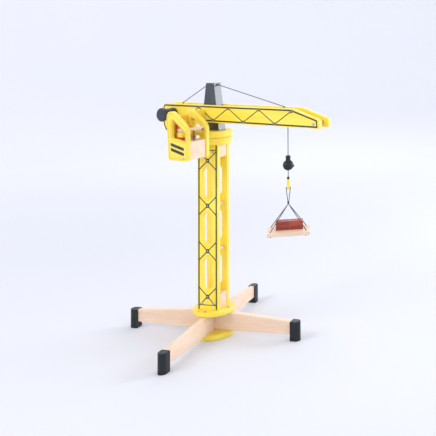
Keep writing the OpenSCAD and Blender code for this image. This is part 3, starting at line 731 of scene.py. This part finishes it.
def lathe(profile, n=48):
    """Profile of (radius, height) points turned about Z; end points with radius 0 close it."""
    V, F, rows = [], [], []
    for r, h in profile:
        if r < 1e-9:
            rows.append([len(V)])
            V.append(Vector((0, 0, h)))
        else:
            rows.append(list(range(len(V), len(V) + n)))
            V += [Vector((r * math.cos(2 * math.pi * i / n), r * math.sin(2 * math.pi * i / n), h)) for i in range(n)]
    for a, b in zip(rows, rows[1:]):
        for i in range(n):
            j = (i + 1) % n
            if len(a) == 1 and len(b) == 1:
                continue
            if len(a) == 1:
                F.append((a[0], b[j], b[i]))
            elif len(b) == 1:
                F.append((a[i], a[j], b[0]))
            else:
                F.append((a[i], a[j], b[j], b[i]))
    return V, F


def placed(part, m):
    v, f = part
    return [m @ Vector(x) for x in v], f


# ---------------------------------------------------------------- carried-over parts

X, Z = (1, 0, 0), (0, 0, 1)
YAX = (0, 1, 0)
LOOK = {
    # node: (material, edge radius in mm, segments)
    "leg_beam_long": (beech(D_TOWER_X), 1.0, 3), "leg_beam_cross": (beech(D_TOWER_Y), 1.0, 3),
    "foot_cap_right": (slate(Z, "foot"), 1.1, 3), "foot_cap_left": (slate(Z, "foot"), 1.1, 3),
    "foot_cap_front": (slate(Z, "foot"), 1.1, 3), "foot_cap_back": (slate(Z, "foot"), 1.1, 3),
    "lower_disc": (yellow(D_TOWER_X), 0.5, 2), "upper_disc": (yellow(D_TOWER_X), 0.5, 2),
    "tower_bottom_block": (beech(D_TOWER_X), 0.5, 2), "tower_top_block": (beech(D_TOWER_X), 0.5, 2),
    "tower_dowels": (beech(D_TOWER_Y), 0.0, 2),
    "collar_disc": (yellow(X), 0.5, 2), "turntable": (yellow(YAX), 0.5, 2),
    "slew_dowel": (beech(Z), 0.4, 2), "slew_washer": (steel(), 0.15, 2), "slew_screw": (steel(), 0.0, 2),
    "mast_block": (slate(Z), 0.9, 3),
    "jib_tip_spacer": (beech(YAX), 0.0, 2), "stay_pins": (beech(YAX), 0.0, 2),
    "roller_pin": (steel(), 0.0, 2), "guide_roller": (beech(YAX), 0.35, 2),
    # the cab's back is painted a deeper orange yellow, a painted stand-in for the warm light bounced inside the cab
    "cab_back_panel": (warm_bounce_yellow(Z), 0.8, 3), "cab_floor_block": (beech(X), 0.8, 3),
    "cab_spacer": (yellow(YAX), 0.8, 3), "cab_crossbar": (beech(YAX), 0.0, 2),
    "lever_pin": (steel(), 0.0, 2), "lever_knob_pin": (slate(X), 0.0, 2),
    "winch_knob": (slate(YAX, "knob"), 0.5, 2), "winch_shaft": (beech(YAX), 0.5, 2), "winch_end_cap": (slate(YAX, "knob"), 0.5, 2),
    "hook_weight": (slate(Z, "foot"), 0.35, 2), "swivel_bead": (slate(Z, "foot"), 0.0, 2),
    "load_hook": (yellow(Z), 0.7, 3),
    "pallet": (beech(D_LOAD_X), 0.8, 3), "bricks": (red(D_LOAD_X, "brick"), 0.7, 3),
    "control_lever": (brown(), 0.0, 2), "lever_knob": (white_lacquer(), 0.0, 2),
    "driver_body": (driver_wood(), 0.5, 2), "driver_head": (beech(Z, "head"), 0.3, 2), "driver_cap": (red(Z, "cap"), 0.4, 2),
}
for node, (mat, w, seg) in LOOK.items():
    paint(clean_cad(node, w, seg, clamp=node.startswith("foot_cap")), mat)

# ---------------------------------------------------------------- tower panels with their windows and print

lo, hi = lbox("tower_front_panel", TOWER)
tp_w = hi[0] - lo[0]
tz0, tz1 = lo[2], hi[2]
BAY, START, SLOT_L, SLOT_W = 0.1033, 0.030, 0.072, 0.025
cross = [tz0 + START + k * BAY for k in range(4)]
tw = rot_z(TOWER)
outer = [(-tp_w / 2, tz0), (tp_w / 2, tz0), (tp_w / 2, tz1), (-tp_w / 2, tz1)]
slots = []
for k in range(3):
    zc = (cross[k] + cross[k + 1]) / 2
    h = (SLOT_L - SLOT_W) / 2
    slots.append(arc_pts(0, zc + h, SLOT_W / 2, 0, 180, 20) + arc_pts(0, zc - h, SLOT_W / 2, 180, 360, 20))


def rounded_rect(x0, z0, x1, z1, r, n=4):
    return (arc_pts(x1 - r, z0 + r, r, -90, 0, n) + arc_pts(x1 - r, z1 - r, r, 0, 90, n)
            + arc_pts(x0 + r, z1 - r, r, 90, 180, n) + arc_pts(x0 + r, z0 + r, r, 180, 270, n))


def tower_print(tag, place):
    ex = 0.0219                       # centre line of the side lines
    dark, bolts = [], []
    for s in (-1, 1):
        dark.append(rounded_rect(s * ex - 0.0017, tz0 + 0.0015, s * ex + 0.0017, tz1 - 0.0015, 0.0004))
    for z in (cross[0] - 0.0188, cross[3] + 0.0244):
        dark += stroke([(-ex, z), (ex, z)], 0.0018)
    for z in cross:
        dark.append(rounded_rect(-0.0042, z - 0.0047, 0.0042, z + 0.0047, 0.0008))
        bolts.append(circle_pts(0, z, 0.0017))
        for s in (-1, 1):
            for d in (-1, 1):
                top = z + d * 0.0212
                if d < 0 and z == cross[0]:
                    top = cross[0] - 0.0188
                x_end = s * ex * min(1.0, abs(top - z) / 0.0212)
                dark += stroke([(0, z), (x_end, top)], 0.0023)
                if abs(x_end) > 0.0205 and tz0 + 0.01 < top < tz1 - 0.01:
                    # gusset where the brace meets the side line
                    dark.append([(s * 0.0238, top - 0.0035), (s * 0.0238, top + 0.0035), (s * 0.0206, top + 0.0030),
                                 (s * 0.0192, top), (s * 0.0206, top - 0.0030)])
                    bolts.append(circle_pts(s * 0.0218, top, 0.0008, 10))
    film("print_tower_" + tag, dark, place, ink("dark"), "stand")
    film("print_tower_bolts_" + tag, bolts, place, ink("bolt"), "stand", top=0.00014)


for tag, node, a in (("front", "tower_front_panel", 0.0), ("rear", "tower_rear_panel", math.pi)):
    place = rot_z(TOWER + a)
    plate(node + "_wood", outer, slots, float(lo[1]), float(hi[1]), 0.0011, yellow(Z), "stand", (node,), place)
    tower_print(tag, place @ Matrix.Translation((0, float(lo[1]), 0)))

# ---------------------------------------------------------------- jib plates and print

jl, jh = lbox("jib_near_plate")
JX0, JX1, JZT = float(jl[0]), float(jh[0]), float(jh[2])
JZB = JZT - 0.0401
LOBE_R, CORNER = 0.0375, 0.009
WX, WZ = JOINT["winch_turn"]["pos_m"][0], JOINT["winch_turn"]["pos_m"][2]
SLOPE_X, NOSE_Z = 0.249, 0.509
jib_outline = ([(SLOPE_X, JZT)] + arc_pts(JX0 + CORNER, JZT - CORNER, CORNER, 90, 180, 10)
               + arc_pts(JX0 + LOBE_R, JZB + 0.0007, LOBE_R, 180, 358.9, 44)
               + [(JX1 - 0.002, JZB), (JX1, JZB + 0.002), (JX1, NOSE_Z - 0.003), (JX1 - 0.003, NOSE_Z)])
winch_hole = circle_pts(WX, WZ, 0.00608, 40)


def jib_print(tag, place, flip):
    f = -1 if flip else 1
    q = lambda pts: [(f * x, z) for x, z in pts]
    off = 0.0042
    cx, cz = JX0 + LOBE_R, JZB + 0.0007
    line = ([(0.244, JZT - 0.0036)] + arc_pts(JX0 + CORNER, JZT - CORNER, CORNER - off, 90, 180, 8)
            + arc_pts(cx, cz, LOBE_R - off, 180, 366.9, 40) + [(0.3131, JZB + 0.0036), (0.3119, 0.5062)])
    dark = stroke(q(line), 0.0034, closed=True, n=10)
    top = [(-0.0262, JZT - 0.0052), (0.0639, JZT - 0.0052), (0.154, JZT - 0.0052), (0.244, JZT - 0.0056)]
    bot = [(-0.0712, JZB + 0.0051), (0.0189, JZB + 0.0051), (0.1089, JZB + 0.0051), (0.199, JZB + 0.0051)]
    zig = [bot[0], top[0], bot[1], top[1], bot[2], top[2], bot[3], top[3]]
    for a, b in zip(zig, zig[1:]):
        dark += stroke(q([a, b]), 0.0021)
    bolts = []
    for n, (x, z) in enumerate(top + bot):
        up = -1 if n < 4 else 1
        dark.append(q([(x - 0.0062, z - up * 0.0024), (x + 0.0062, z - up * 0.0024), (x + 0.0036, z + up * 0.0036), (x - 0.0036, z + up * 0.0036)]))
        for s in (-1, 1):
            bolts.append(q(circle_pts(x + s * 0.0024, z - up * 0.0002, 0.0011, 10)))
        bolts.append(q(circle_pts(x, z + up * 0.0020, 0.0010, 10)))
    film("print_jib_" + tag, dark, place, ink("dark"), "upper")
    film("print_jib_bolts_" + tag, bolts, place, ink("bolt"), "upper", top=0.00014)


plate("jib_near_plate_wood", jib_outline, [winch_hole], float(jl[1]), float(jh[1]), 0.0011, yellow(X), "upper", ("jib_near_plate",),
      hole_r=0.0003)
jib_print("near", Matrix.Translation((0, float(jl[1]), 0)), False)
fl, fh = lbox("jib_far_plate")
plate("jib_far_plate_wood", jib_outline, [winch_hole], float(fl[1]), float(fh[1]), 0.0011, yellow(X), "upper", ("jib_far_plate",),
      hole_r=0.0003)
jib_print("far", Matrix.Translation((0, float(fh[1]), 0)) @ rot_z(math.pi), True)

# ---------------------------------------------------------------- cab sides, stripes and outline

cl, ch = lbox("cab_near_panel")
CZ = float(cl[2])
c = lambda pts: [(x * MM, CZ + (z - 415) * MM) for x, z in pts]
cab_outline = c([(-27.6, 420), (-26.2, 416.5), (-23, 415), (27, 415), (30.5, 416.5), (32, 420), (32, 479), (30.8, 486),
                 (27.2, 492.5), (22, 497.4), (16, 502), (10, 506.4), (4, 510.8), (-2, 515.5), (-7.5, 519.8), (-11, 521.9),
                 (-15, 523), (-22, 523), (-26.5, 521.8), (-30.2, 518.6), (-32.4, 513.5), (-33, 507)])
cab_window = c([(-17.4, 468), (-17.4, 499.5), (-16, 502.6), (-13, 503.6), (-9.5, 502.4), (21, 479.4), (23.5, 476.8),
                (24.2, 473.5), (24.2, 461), (23, 458.4), (20, 458), (-13, 463.6), (-16.2, 465)])


def soften(loop, n=2):
    """Chaikin rounding that stays inside the outline."""
    for _ in range(n):
        out = []
        for i in range(len(loop)):
            a, b = Vector(loop[i]), Vector(loop[(i + 1) % len(loop)])
            d = (b - a).length
            k = min(0.25, 0.0016 / max(d, 1e-9))
            out += [tuple(a.lerp(b, k)), tuple(a.lerp(b, 1 - k))]
        loop = out
    return loop


for tag, node in (("near", "cab_near_panel"), ("far", "cab_far_panel")):
    a, b = lbox(node)
    plate(node + "_wood", soften(cab_outline), [soften(cab_window)], float(a[1]), float(b[1]), 0.0021, yellow(Z), "upper", (node,),
          hole_r=0.0014)

place = Matrix.Translation((0, float(cl[1]), 0))
stripes = [c([(-19.8, 454.2), (21.4, 444.5), (21.4, 437.7), (-19.7, 447.4)]), c([(-18.6, 443.2), (21.4, 433.5), (21.4, 426.7), (-18.6, 436.3)])]
film("print_cab_stripes", [soften(s, 1) for s in stripes], place, ink("stripe"), "upper")
inner = offset_loop(cab_outline if area(cab_outline) > 0 else cab_outline[::-1], 0.0046)
film("print_cab_outline", stroke(inner, 0.0006, closed=True, n=8), place, ink("fine"), "upper")
frame_line = offset_loop(cab_window if area(cab_window) < 0 else cab_window[::-1], 0.0026)
film("print_cab_window_line", stroke(frame_line, 0.0006, closed=True, n=8), place, ink("fine"), "upper")

# ---------------------------------------------------------------- screws with cross recesses


def screw_head(r, h):
    """Pan head with a cross recess, head up along +Z, seat at z 0."""
    prof = [(0, h)] + [(r * math.sin(a), h * (0.42 + 0.58 * math.cos(a))) for a in [math.radians(d) for d in (12, 24, 36, 48, 60, 72, 82, 90)]]
    prof += [(r, h * 0.18), (r * 0.96, 0.0), (0, 0.0)]
    v, f = lathe(prof, 32)
    a = new_obj("tmp_head", v, f, steel(), None)
    parts = []
    for k in range(2):
        w, l, d = r * 0.17, r * 0.62, h * 0.62
        box = [(-l, -w, h * 1.4), (l, -w, h * 1.4), (l, w, h * 1.4), (-l, w, h * 1.4),
               (-l * 0.45, -w * 0.7, h - d), (l * 0.45, -w * 0.7, h - d), (l * 0.45, w * 0.7, h - d), (-l * 0.45, w * 0.7, h - d)]
        m = Matrix.Rotation(math.pi / 2 * k, 4, "Z")
        parts.append(([m @ Vector(p) for p in box], [(0, 1, 2, 3), (7, 6, 5, 4), (0, 4, 5, 1), (1, 5, 6, 2), (2, 6, 7, 3), (3, 7, 4, 0)]))
    for i, (vv, ff) in enumerate(parts):
        cut = new_obj("tmp_cut%d" % i, vv, ff, steel(), None)
        md = a.modifiers.new("cut%d" % i, "BOOLEAN")
        md.operation = "DIFFERENCE"
        md.solver = "EXACT"
        md.object = cut
        parts[i] = cut
    dg = bpy.context.evaluated_depsgraph_get()
    me = bpy.data.meshes.new_from_object(a.evaluated_get(dg))
    out = ([v.co.copy() for v in me.vertices], [tuple(p.vertices) for p in me.polygons])
    for o in parts + [a]:
        bpy.data.objects.remove(o, do_unlink=True)
    bpy.data.meshes.remove(me)
    return out


def screw_shank(r, l):
    """Thread as a stack of ridges, tapering to a point, below the head along -Z."""
    prof = [(0, -l)]
    n = max(6, int(l / 0.0016))
    for i in range(n):
        z = -l + 0.002 + (l - 0.004) * i / n
        rr = r * min(1.0, 0.35 + 0.65 * (i + 1) / 4)
        prof += [(rr * 0.80, z), (rr, z + 0.0006)]
    prof += [(r * 0.8, -0.0012), (r * 0.8, -0.00002), (0, -0.00002)]
    return lathe(prof, 16)


def screws(name, node, spots, r, h, l, sr, body, replaces):
    head = screw_head(r, h)
    shank = screw_shank(sr, l)
    parts = []
    for i, (pos, out) in enumerate(spots):
        q = Vector((0, 0, 1)).rotation_difference(Vector(out).normalized()).to_matrix().to_4x4()
        m = Matrix.Translation(pos) @ q @ Matrix.Rotation(0.7 + 1.9 * i, 4, "Z")
        parts += [placed(head, m), placed(shank, m)]
    v, f = merge(parts)
    ob = new_obj(name, v, f, steel(), body, replaces)
    weighted(ob)
    return ob


def spots_y(node, a, face):
    """Screw spots on the faces y = -face and y = +face of a frame turned by a."""
    m = rot_z(a)
    out = []
    for lo_, hi_ in islands(node, a):
        cx, cy, cz = (lo_ + hi_) / 2
        s = -1 if cy < face[0] * 0.0 + (face[0] + face[1]) / 2 else 1
        y = face[0] if s < 0 else face[1]
        out.append((m @ Vector((cx, y, cz)), (m.to_3x3() @ Vector((0, s, 0)))))
    return out


t_lo, t_hi = lbox("tower_front_panel", TOWER)
screws("tower_screw_set", "tower_screws", spots_y("tower_screws", TOWER, (float(t_lo[1]), -float(t_lo[1]))), 0.0034, 0.0015, 0.0160, 0.0016,
       "stand", ("tower_screws",))
screws("jib_tip_screw_set", "jib_tip_screws", spots_y("jib_tip_screws", 0, (float(jl[1]), float(fh[1]))), 0.0031, 0.0015, 0.0135, 0.0015,
       "upper", ("jib_tip_screws",))
cab_spots = []
for lo_, hi_ in islands("cab_screws"):
    cc = (lo_ + hi_) / 2
    cab_spots.append((Vector((cc[0], float(cl[1]), cc[2])), Vector((0, -1, 0))))
screws("cab_screw_set", "cab_screws", cab_spots, 0.0026, 0.0010, 0.0190, 0.0015, "upper", ("cab_screws",))
d_spots = []
tz_top = float(lbox("upper_disc")[1][2])
for lo_, hi_ in islands("disc_screws", TOWER):
    cc = (lo_ + hi_) / 2
    up = cc[2] > 0.03
    d_spots.append((rot_z(TOWER) @ Vector((cc[0], cc[1], tz_top if up else 0.0035)), Vector((0, 0, 1 if up else -1))))
screws("disc_screw_set", "disc_screws", d_spots, 0.0034, 0.0015, 0.0190, 0.0016, "stand", ("disc_screws",))

# ---------------------------------------------------------------- cords

R = 0.00095
CORD = cord_mat()
hx = JOINT["hoist"]["deforming_nodes"][0]["fixed_end_z_m"]
HOOK_X = JOINT["load_swing"]["pos_m"][0]
hl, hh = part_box("hoist_line")
v, f = rope_mesh([(HOOK_X, 0, hh.z), (HOOK_X, 0, hl.z)], R, 0.0030)
hoist = new_obj("hoist_line_rope", v, f, CORD, None, ("hoist_line",))
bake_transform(hoist)

ROLL_X, ROLL_Z = JOINT["roller_spin"]["pos_m"][0], JOINT["roller_spin"]["pos_m"][2]
run_z = ROLL_Z + 0.0075
path = [(WX, 0, run_z), (ROLL_X, 0, run_z)]
path += [(ROLL_X + 0.0075 * math.sin(math.radians(a)), 0, ROLL_Z + 0.0075 * math.cos(math.radians(a))) for a in range(10, 91, 10)]
path += [(HOOK_X, 0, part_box("jib_line")[0].z)]
v, f = rope_mesh(path, R, 0.0042)
new_obj("jib_line_rope", v, f, CORD, "upper", ("jib_line",))

coil = []
for i in range(4 * 28 + 1):
    a = 2 * math.pi * i / 28
    coil.append((WX + 0.00700 * math.sin(a), -0.0021 - 0.0020 * i / 28 * 0.99, WZ + 0.00700 * math.cos(a)))
v, f = rope_mesh(coil, R * 0.98, 0.0042)
new_obj("line_wraps_rope", v, f, CORD, "winch", ("line_wraps",))

sl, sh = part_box("stay_cord")
stay_z = float(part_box("mast_block")[1].z) - 0.0045
PX0, PX1 = (float(v) for v in (lbox("stay_pins")[0][0] + 0.003, lbox("stay_pins")[1][0] - 0.003))
pin_z = float(lbox("stay_pins")[0][2]) + 0.003
loop_top = pin_z + 0.00305 + 2 * R
knot_x = 0.0157
tie_z = float(sl.z) + 0.0016
parts = [rope_mesh([(PX0, 0, tie_z), (-knot_x, 0, stay_z)], R, 0.0042),
         rope_mesh([(-knot_x, 0, stay_z), (knot_x, 0, stay_z)], R, 0.0042),
         rope_mesh([(knot_x, 0, stay_z), (PX1, 0, tie_z)], R, 0.0042)]
for x in (-knot_x, knot_x):
    parts.append(knot_mesh((x + math.copysign(0.0008, x), 0, stay_z), 0.0019, 0.00088, (1, 0, 0.25), 0.4))
for x in (PX0, PX1):
    parts.append(knot_mesh((x, 0, tie_z), 0.0012, 0.00062, (0, 1, 0.4), 0.9))
v, f = merge(parts)
new_obj("stay_cord_rope", v, f, CORD, "upper", ("stay_cord",))
parts = []
for x in (PX0, PX1):
    ring = [(x + (0.00305 + R) * math.sin(2 * math.pi * i / 40), 0, pin_z + (0.00305 + R) * math.cos(2 * math.pi * i / 40)) for i in range(41)]
    parts.append(rope_mesh(ring, R * 0.96, 0.00424))
v, f = merge(parts)
new_obj("stay_loops_rope", v, f, CORD, "upper", ("stay_loops",))

kl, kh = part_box("hook_cord")
v, f = rope_mesh([(HOOK_X, 0, kh.z), (HOOK_X, 0, kl.z)], R * 0.98, 0.0042)
new_obj("hook_cord_rope", v, f, CORD, "hook", ("hook_cord",))

ld = Matrix.Translation((HOOK_X, 0, 0)) @ rot_z(LOAD)
sb0, sb1 = lbox("sling_cord")
knot_z = float(sb0[2]) + 0.0024
seat = float(lbox("load_hook")[0][2]) + 0.0040 + 0.0001 + R
sx = 0.0048
loop = []
loop += [(-0.0010, 0, knot_z + 0.0052), (-sx * 0.98, 0, seat - 0.0012)]
loop += [(-sx * 0.9, 0, seat - 0.0003), (-sx * 0.72, 0, seat), (sx * 0.72, 0, seat), (sx * 0.9, 0, seat - 0.0003)]
loop += [(sx * 0.98, 0, seat - 0.0012), (0.0010, 0, knot_z + 0.0052)]
wrap = []
for i in range(4 * 22 + 1):
    a = 2 * math.pi * i / 22
    wrap.append((0.00150 * math.cos(a), 0.00150 * math.sin(a), knot_z - 0.0002 + 0.0060 * i / 88))
parts = [rope_mesh(loop, R * 0.92, 0.0042), rope_mesh(wrap, 0.00080, 0.0036), knot_mesh((0, 0, knot_z - 0.0002), 0.0015, 0.00085, (0, 0, 1), 0.2)]
parts = [placed(p, ld) for p in parts]
v, f = merge(parts)
new_obj("sling_loop_rope", v, f, CORD, "load", ("sling_cord",))

pb0, pb1 = lbox("pallet", LOAD)
deck, under = float(pb1[2]), float(pb0[2])
px, py = 0.038, 0.022
parts = []
for a in (-1, 1):
    for b in (-1, 1):
        top = (a * px * 0.05, b * py * 0.05, knot_z - 0.0025)
        end = (a * px, b * py, deck + 0.0014)
        parts.append(rope_mesh([top, end, (a * px, b * py, deck - 0.001), (a * px, b * py, under - 0.0018)], R * 0.98, 0.0042))
        parts.append(knot_mesh((a * px, b * py, under - 0.00195), 0.0012, 0.00068, (0, 0, 1), a * 0.8 + b))
parts = [placed(p, ld) for p in parts]
v, f = merge(parts)
new_obj("sling_legs_rope", v, f, CORD, "load", ("sling_legs",))

# ---------------------------------------------------------------- the driver's face, a plain painted one

dj = JOINT["driver_turn"]["pos_m"]
hr = 0.0115
hc = Vector((dj[0], dj[1], dj[2] + 0.024))
HEAD = Matrix.Translation(hc) @ Matrix.Rotation(math.radians(-10), 4, "Y")


def on_head(az, el, lift=0.0):
    a, e = math.radians(az), math.radians(el)
    n = Vector((math.cos(e) * math.cos(a), math.cos(e) * math.sin(a), math.sin(e)))
    n = HEAD.to_3x3() @ n
    return hc + n * (hr + lift), n


def blob(az, el, rx, rz, h):
    """A small domed drop of paint on the head."""
    p, n = on_head(az, el)
    q = Vector((0, 0, 1)).rotation_difference(n).to_matrix().to_4x4()
    v, f = lathe([(0, h), (0.45, h * 0.9), (0.78, h * 0.6), (0.95, h * 0.25), (1.0, -h * 0.4), (0, -h * 0.6)], 20)
    sc = Matrix.Diagonal((rz, rx, 1, 1))
    return [(Matrix.Translation(p) @ q @ sc) @ x for x in v], f


eye_mat = wood("eye_paint", srgb(34, 28, 26), srgb(20, 16, 16), srgb(48, 40, 36), Z, rough=0.25, coat=0.6, bumpy=0.01)
v, f = merge([blob(-23, 6, 0.0010, 0.0013, 0.00025), blob(23, 6, 0.0010, 0.0013, 0.00025)])
new_obj("driver_eyes", v, f, eye_mat, "driver")
smile = [on_head(a, -27 - 6 * (1 - (a / 24) ** 2), 0.0)[0] for a in range(-24, 25, 4)]
v, f = tube(smile, [0.0002] + [0.00038] * (len(smile) - 2) + [0.0002], 8)
new_obj("driver_mouth", v, f, eye_mat, "driver")
cheek = wood("cheek_paint", srgb(232, 142, 112), srgb(214, 118, 92), srgb(238, 158, 128), Z, rough=0.4, coat=0.3, bumpy=0.01)
v, f = merge([blob(-44, -14, 0.0016, 0.0015, 0.00010), blob(44, -14, 0.0016, 0.0015, 0.00010)])
new_obj("driver_cheeks", v, f, cheek, "driver")
buttons = []
for z, rr in ((dj[2] + 0.0128, 0.0131), (dj[2] + 0.0098, 0.0132)):
    q = Vector((0, 0, 1)).rotation_difference(Vector((1, 0, 0.12)).normalized()).to_matrix().to_4x4()
    vv, ff = lathe([(0, 0.0005), (0.0006, 0.00045), (0.0009, 0.0001), (0.0009, -0.0006), (0, -0.0006)], 18)
    buttons.append(([(Matrix.Translation((dj[0] + rr, dj[1], z)) @ q) @ x for x in vv], ff))
v, f = merge(buttons)
new_obj("driver_buttons", v, f, white_lacquer(), "driver")

# ---------------------------------------------------------------- stage, light and camera

cyc = bpy.data.meshes.new("studio_floor")
bm = bmesh.new()
prof = [(0.0, 0.0), (0.8, 0.0), (1.6, 0.0), (2.6, 0.0)] + [(2.6 + 1.6 * math.sin(math.radians(a)), 1.6 * (1 - math.cos(math.radians(a)))) for a in range(6, 91, 6)] + [(4.2, 3.6)]
n = 96
rings = []
for r, z in prof:
    if r == 0:
        rings.append([bm.verts.new((0, 0, 0))])
    else:
        rings.append([bm.verts.new((r * math.cos(2 * math.pi * i / n), r * math.sin(2 * math.pi * i / n), z)) for i in range(n)])
for a, b in zip(rings, rings[1:]):
    for i in range(n):
        j = (i + 1) % n
        bm.faces.new((a[0], b[i], b[j]) if len(a) == 1 else (a[i], b[i], b[j], a[j]))
bm.to_mesh(cyc)
bm.free()
for p in cyc.polygons:
    p.use_smooth = True
floor = bpy.data.objects.new("studio_floor", cyc)
floor.location.z = -0.0001
SC.collection.objects.link(floor)
fm = Mat("studio_floor")
nz = fm.noise(fm.tc.outputs["Object"], 3.0, 2.0)
fm.put(fm.b.inputs["Base Color"], fm.mix(nz, srgb(223, 224, 231), srgb(226, 227, 233)))
away = fm.vmath("LENGTH", fm.vmath("MULTIPLY", fm.tc.outputs["Object"], (1, 1, 0)))
fm.put(fm.b.inputs["Emission Color"], (0.955, 0.965, 1.0, 1.0))
fm.put(fm.b.inputs["Emission Strength"], fm.rng(away, 0.6, 2.9, 0.0, 0.24, True))
fm.put(fm.b.inputs["Roughness"], 0.85)
fm.put(fm.b.inputs["Specular IOR Level"], 0.2)
cyc.materials.append(fm.m)
floor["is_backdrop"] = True

world = bpy.data.worlds.new("studio")
SC.world = world
world.use_nodes = True
bg = world.node_tree.nodes["Background"]
bg.inputs["Color"].default_value = (*srgb(240, 243, 250), 1)
bg.inputs["Strength"].default_value = 0.62


def soft_light(name, loc, aim, size, power, color=(1, 1, 1)):
    d = bpy.data.lights.new(name, "AREA")
    d.shape = "DISK"
    d.size = size
    d.energy = power
    d.color = color
    o = bpy.data.objects.new(name, d)
    o.location = loc
    o.rotation_mode = "QUATERNION"
    o.rotation_quaternion = (Vector(aim) - Vector(loc)).to_track_quat("-Z", "Y")
    o.visible_camera = False
    SC.collection.objects.link(o)
    return o


soft_light("key", (-0.9, -2.0, 1.9), (0, 0, 0.35), 1.6, 26, (1.0, 0.985, 0.96))
soft_light("fill", (2.3, -1.0, 1.3), (0, 0, 0.3), 1.8, 8, (0.98, 0.99, 1.0))
soft_light("top", (0.1, 0.2, 2.6), (0, 0, 0.2), 2.2, 13)
soft_light("sheen", (1.30, 1.46, 0.80), (0, 0, 0.5), 1.1, 17, (0.92, 0.96, 1.0))
soft_light("back", (-1.2, 2.2, 1.6), (0, 0, 0.3), 1.8, 8)

cam_d = bpy.data.cameras.new("camera")
cam = bpy.data.objects.new("camera", cam_d)
SC.collection.objects.link(cam)
SC.camera = cam
yaw, pitch, roll = math.radians(27.13), math.radians(2.37), math.radians(-0.78)
fwd = Vector((-math.sin(yaw) * math.cos(pitch), math.cos(yaw) * math.cos(pitch), math.sin(pitch)))
right = Vector((math.cos(yaw), math.sin(yaw), 0))
up = right.cross(fwd)
rr = right * math.cos(roll) + up * math.sin(roll)
uu = -right * math.sin(roll) + up * math.cos(roll)
m = Matrix((rr, uu, -fwd)).transposed().to_4x4()
m.translation = Vector((1.2585, -1.3126, 0.6953))
cam.matrix_world = m
cam_d.sensor_fit = "HORIZONTAL"
cam_d.sensor_width = 36.0
cam_d.lens = 735.79 / 436 * 36
# The picture is an off-centre part of a wider view, so the lens is shifted; the shift holds
# only while the camera stands here, and a camera moved to look from another side has none. A
# stepped curve over twenty times the camera's own X gives the shift.
for prop, value in (("shift_x", (218 - 433.27) / 436), ("shift_y", (0.36 - 218) / 436)):
    curve = cam_d.driver_add(prop)
    curve.driver.type = "SUM"
    for i in range(20):
        v = curve.driver.variables.new()
        v.name, v.type = "x%d" % i, "TRANSFORMS"
        v.targets[0].id = cam
        v.targets[0].transform_type = "LOC_X"
    for mod in list(curve.modifiers):
        curve.modifiers.remove(mod)
    curve.keyframe_points.clear()
    curve.keyframe_points.add(3)
    for key, (x, y) in zip(curve.keyframe_points, ((-100.0, 0.0), (20 * 1.2585 - 0.03, value), (20 * 1.2585 + 0.03, 0.0))):
        key.co = (x, y)
        key.interpolation = "CONSTANT"
    curve.extrapolation = "CONSTANT"
    curve.update()
cam_d.clip_start, cam_d.clip_end = 0.01, 50

SC.view_settings.view_transform = "Standard"
SC.view_settings.look = "None"
SC.view_settings.exposure = 0.0
SC.view_settings.gamma = 1.0

lo_, hi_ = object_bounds()
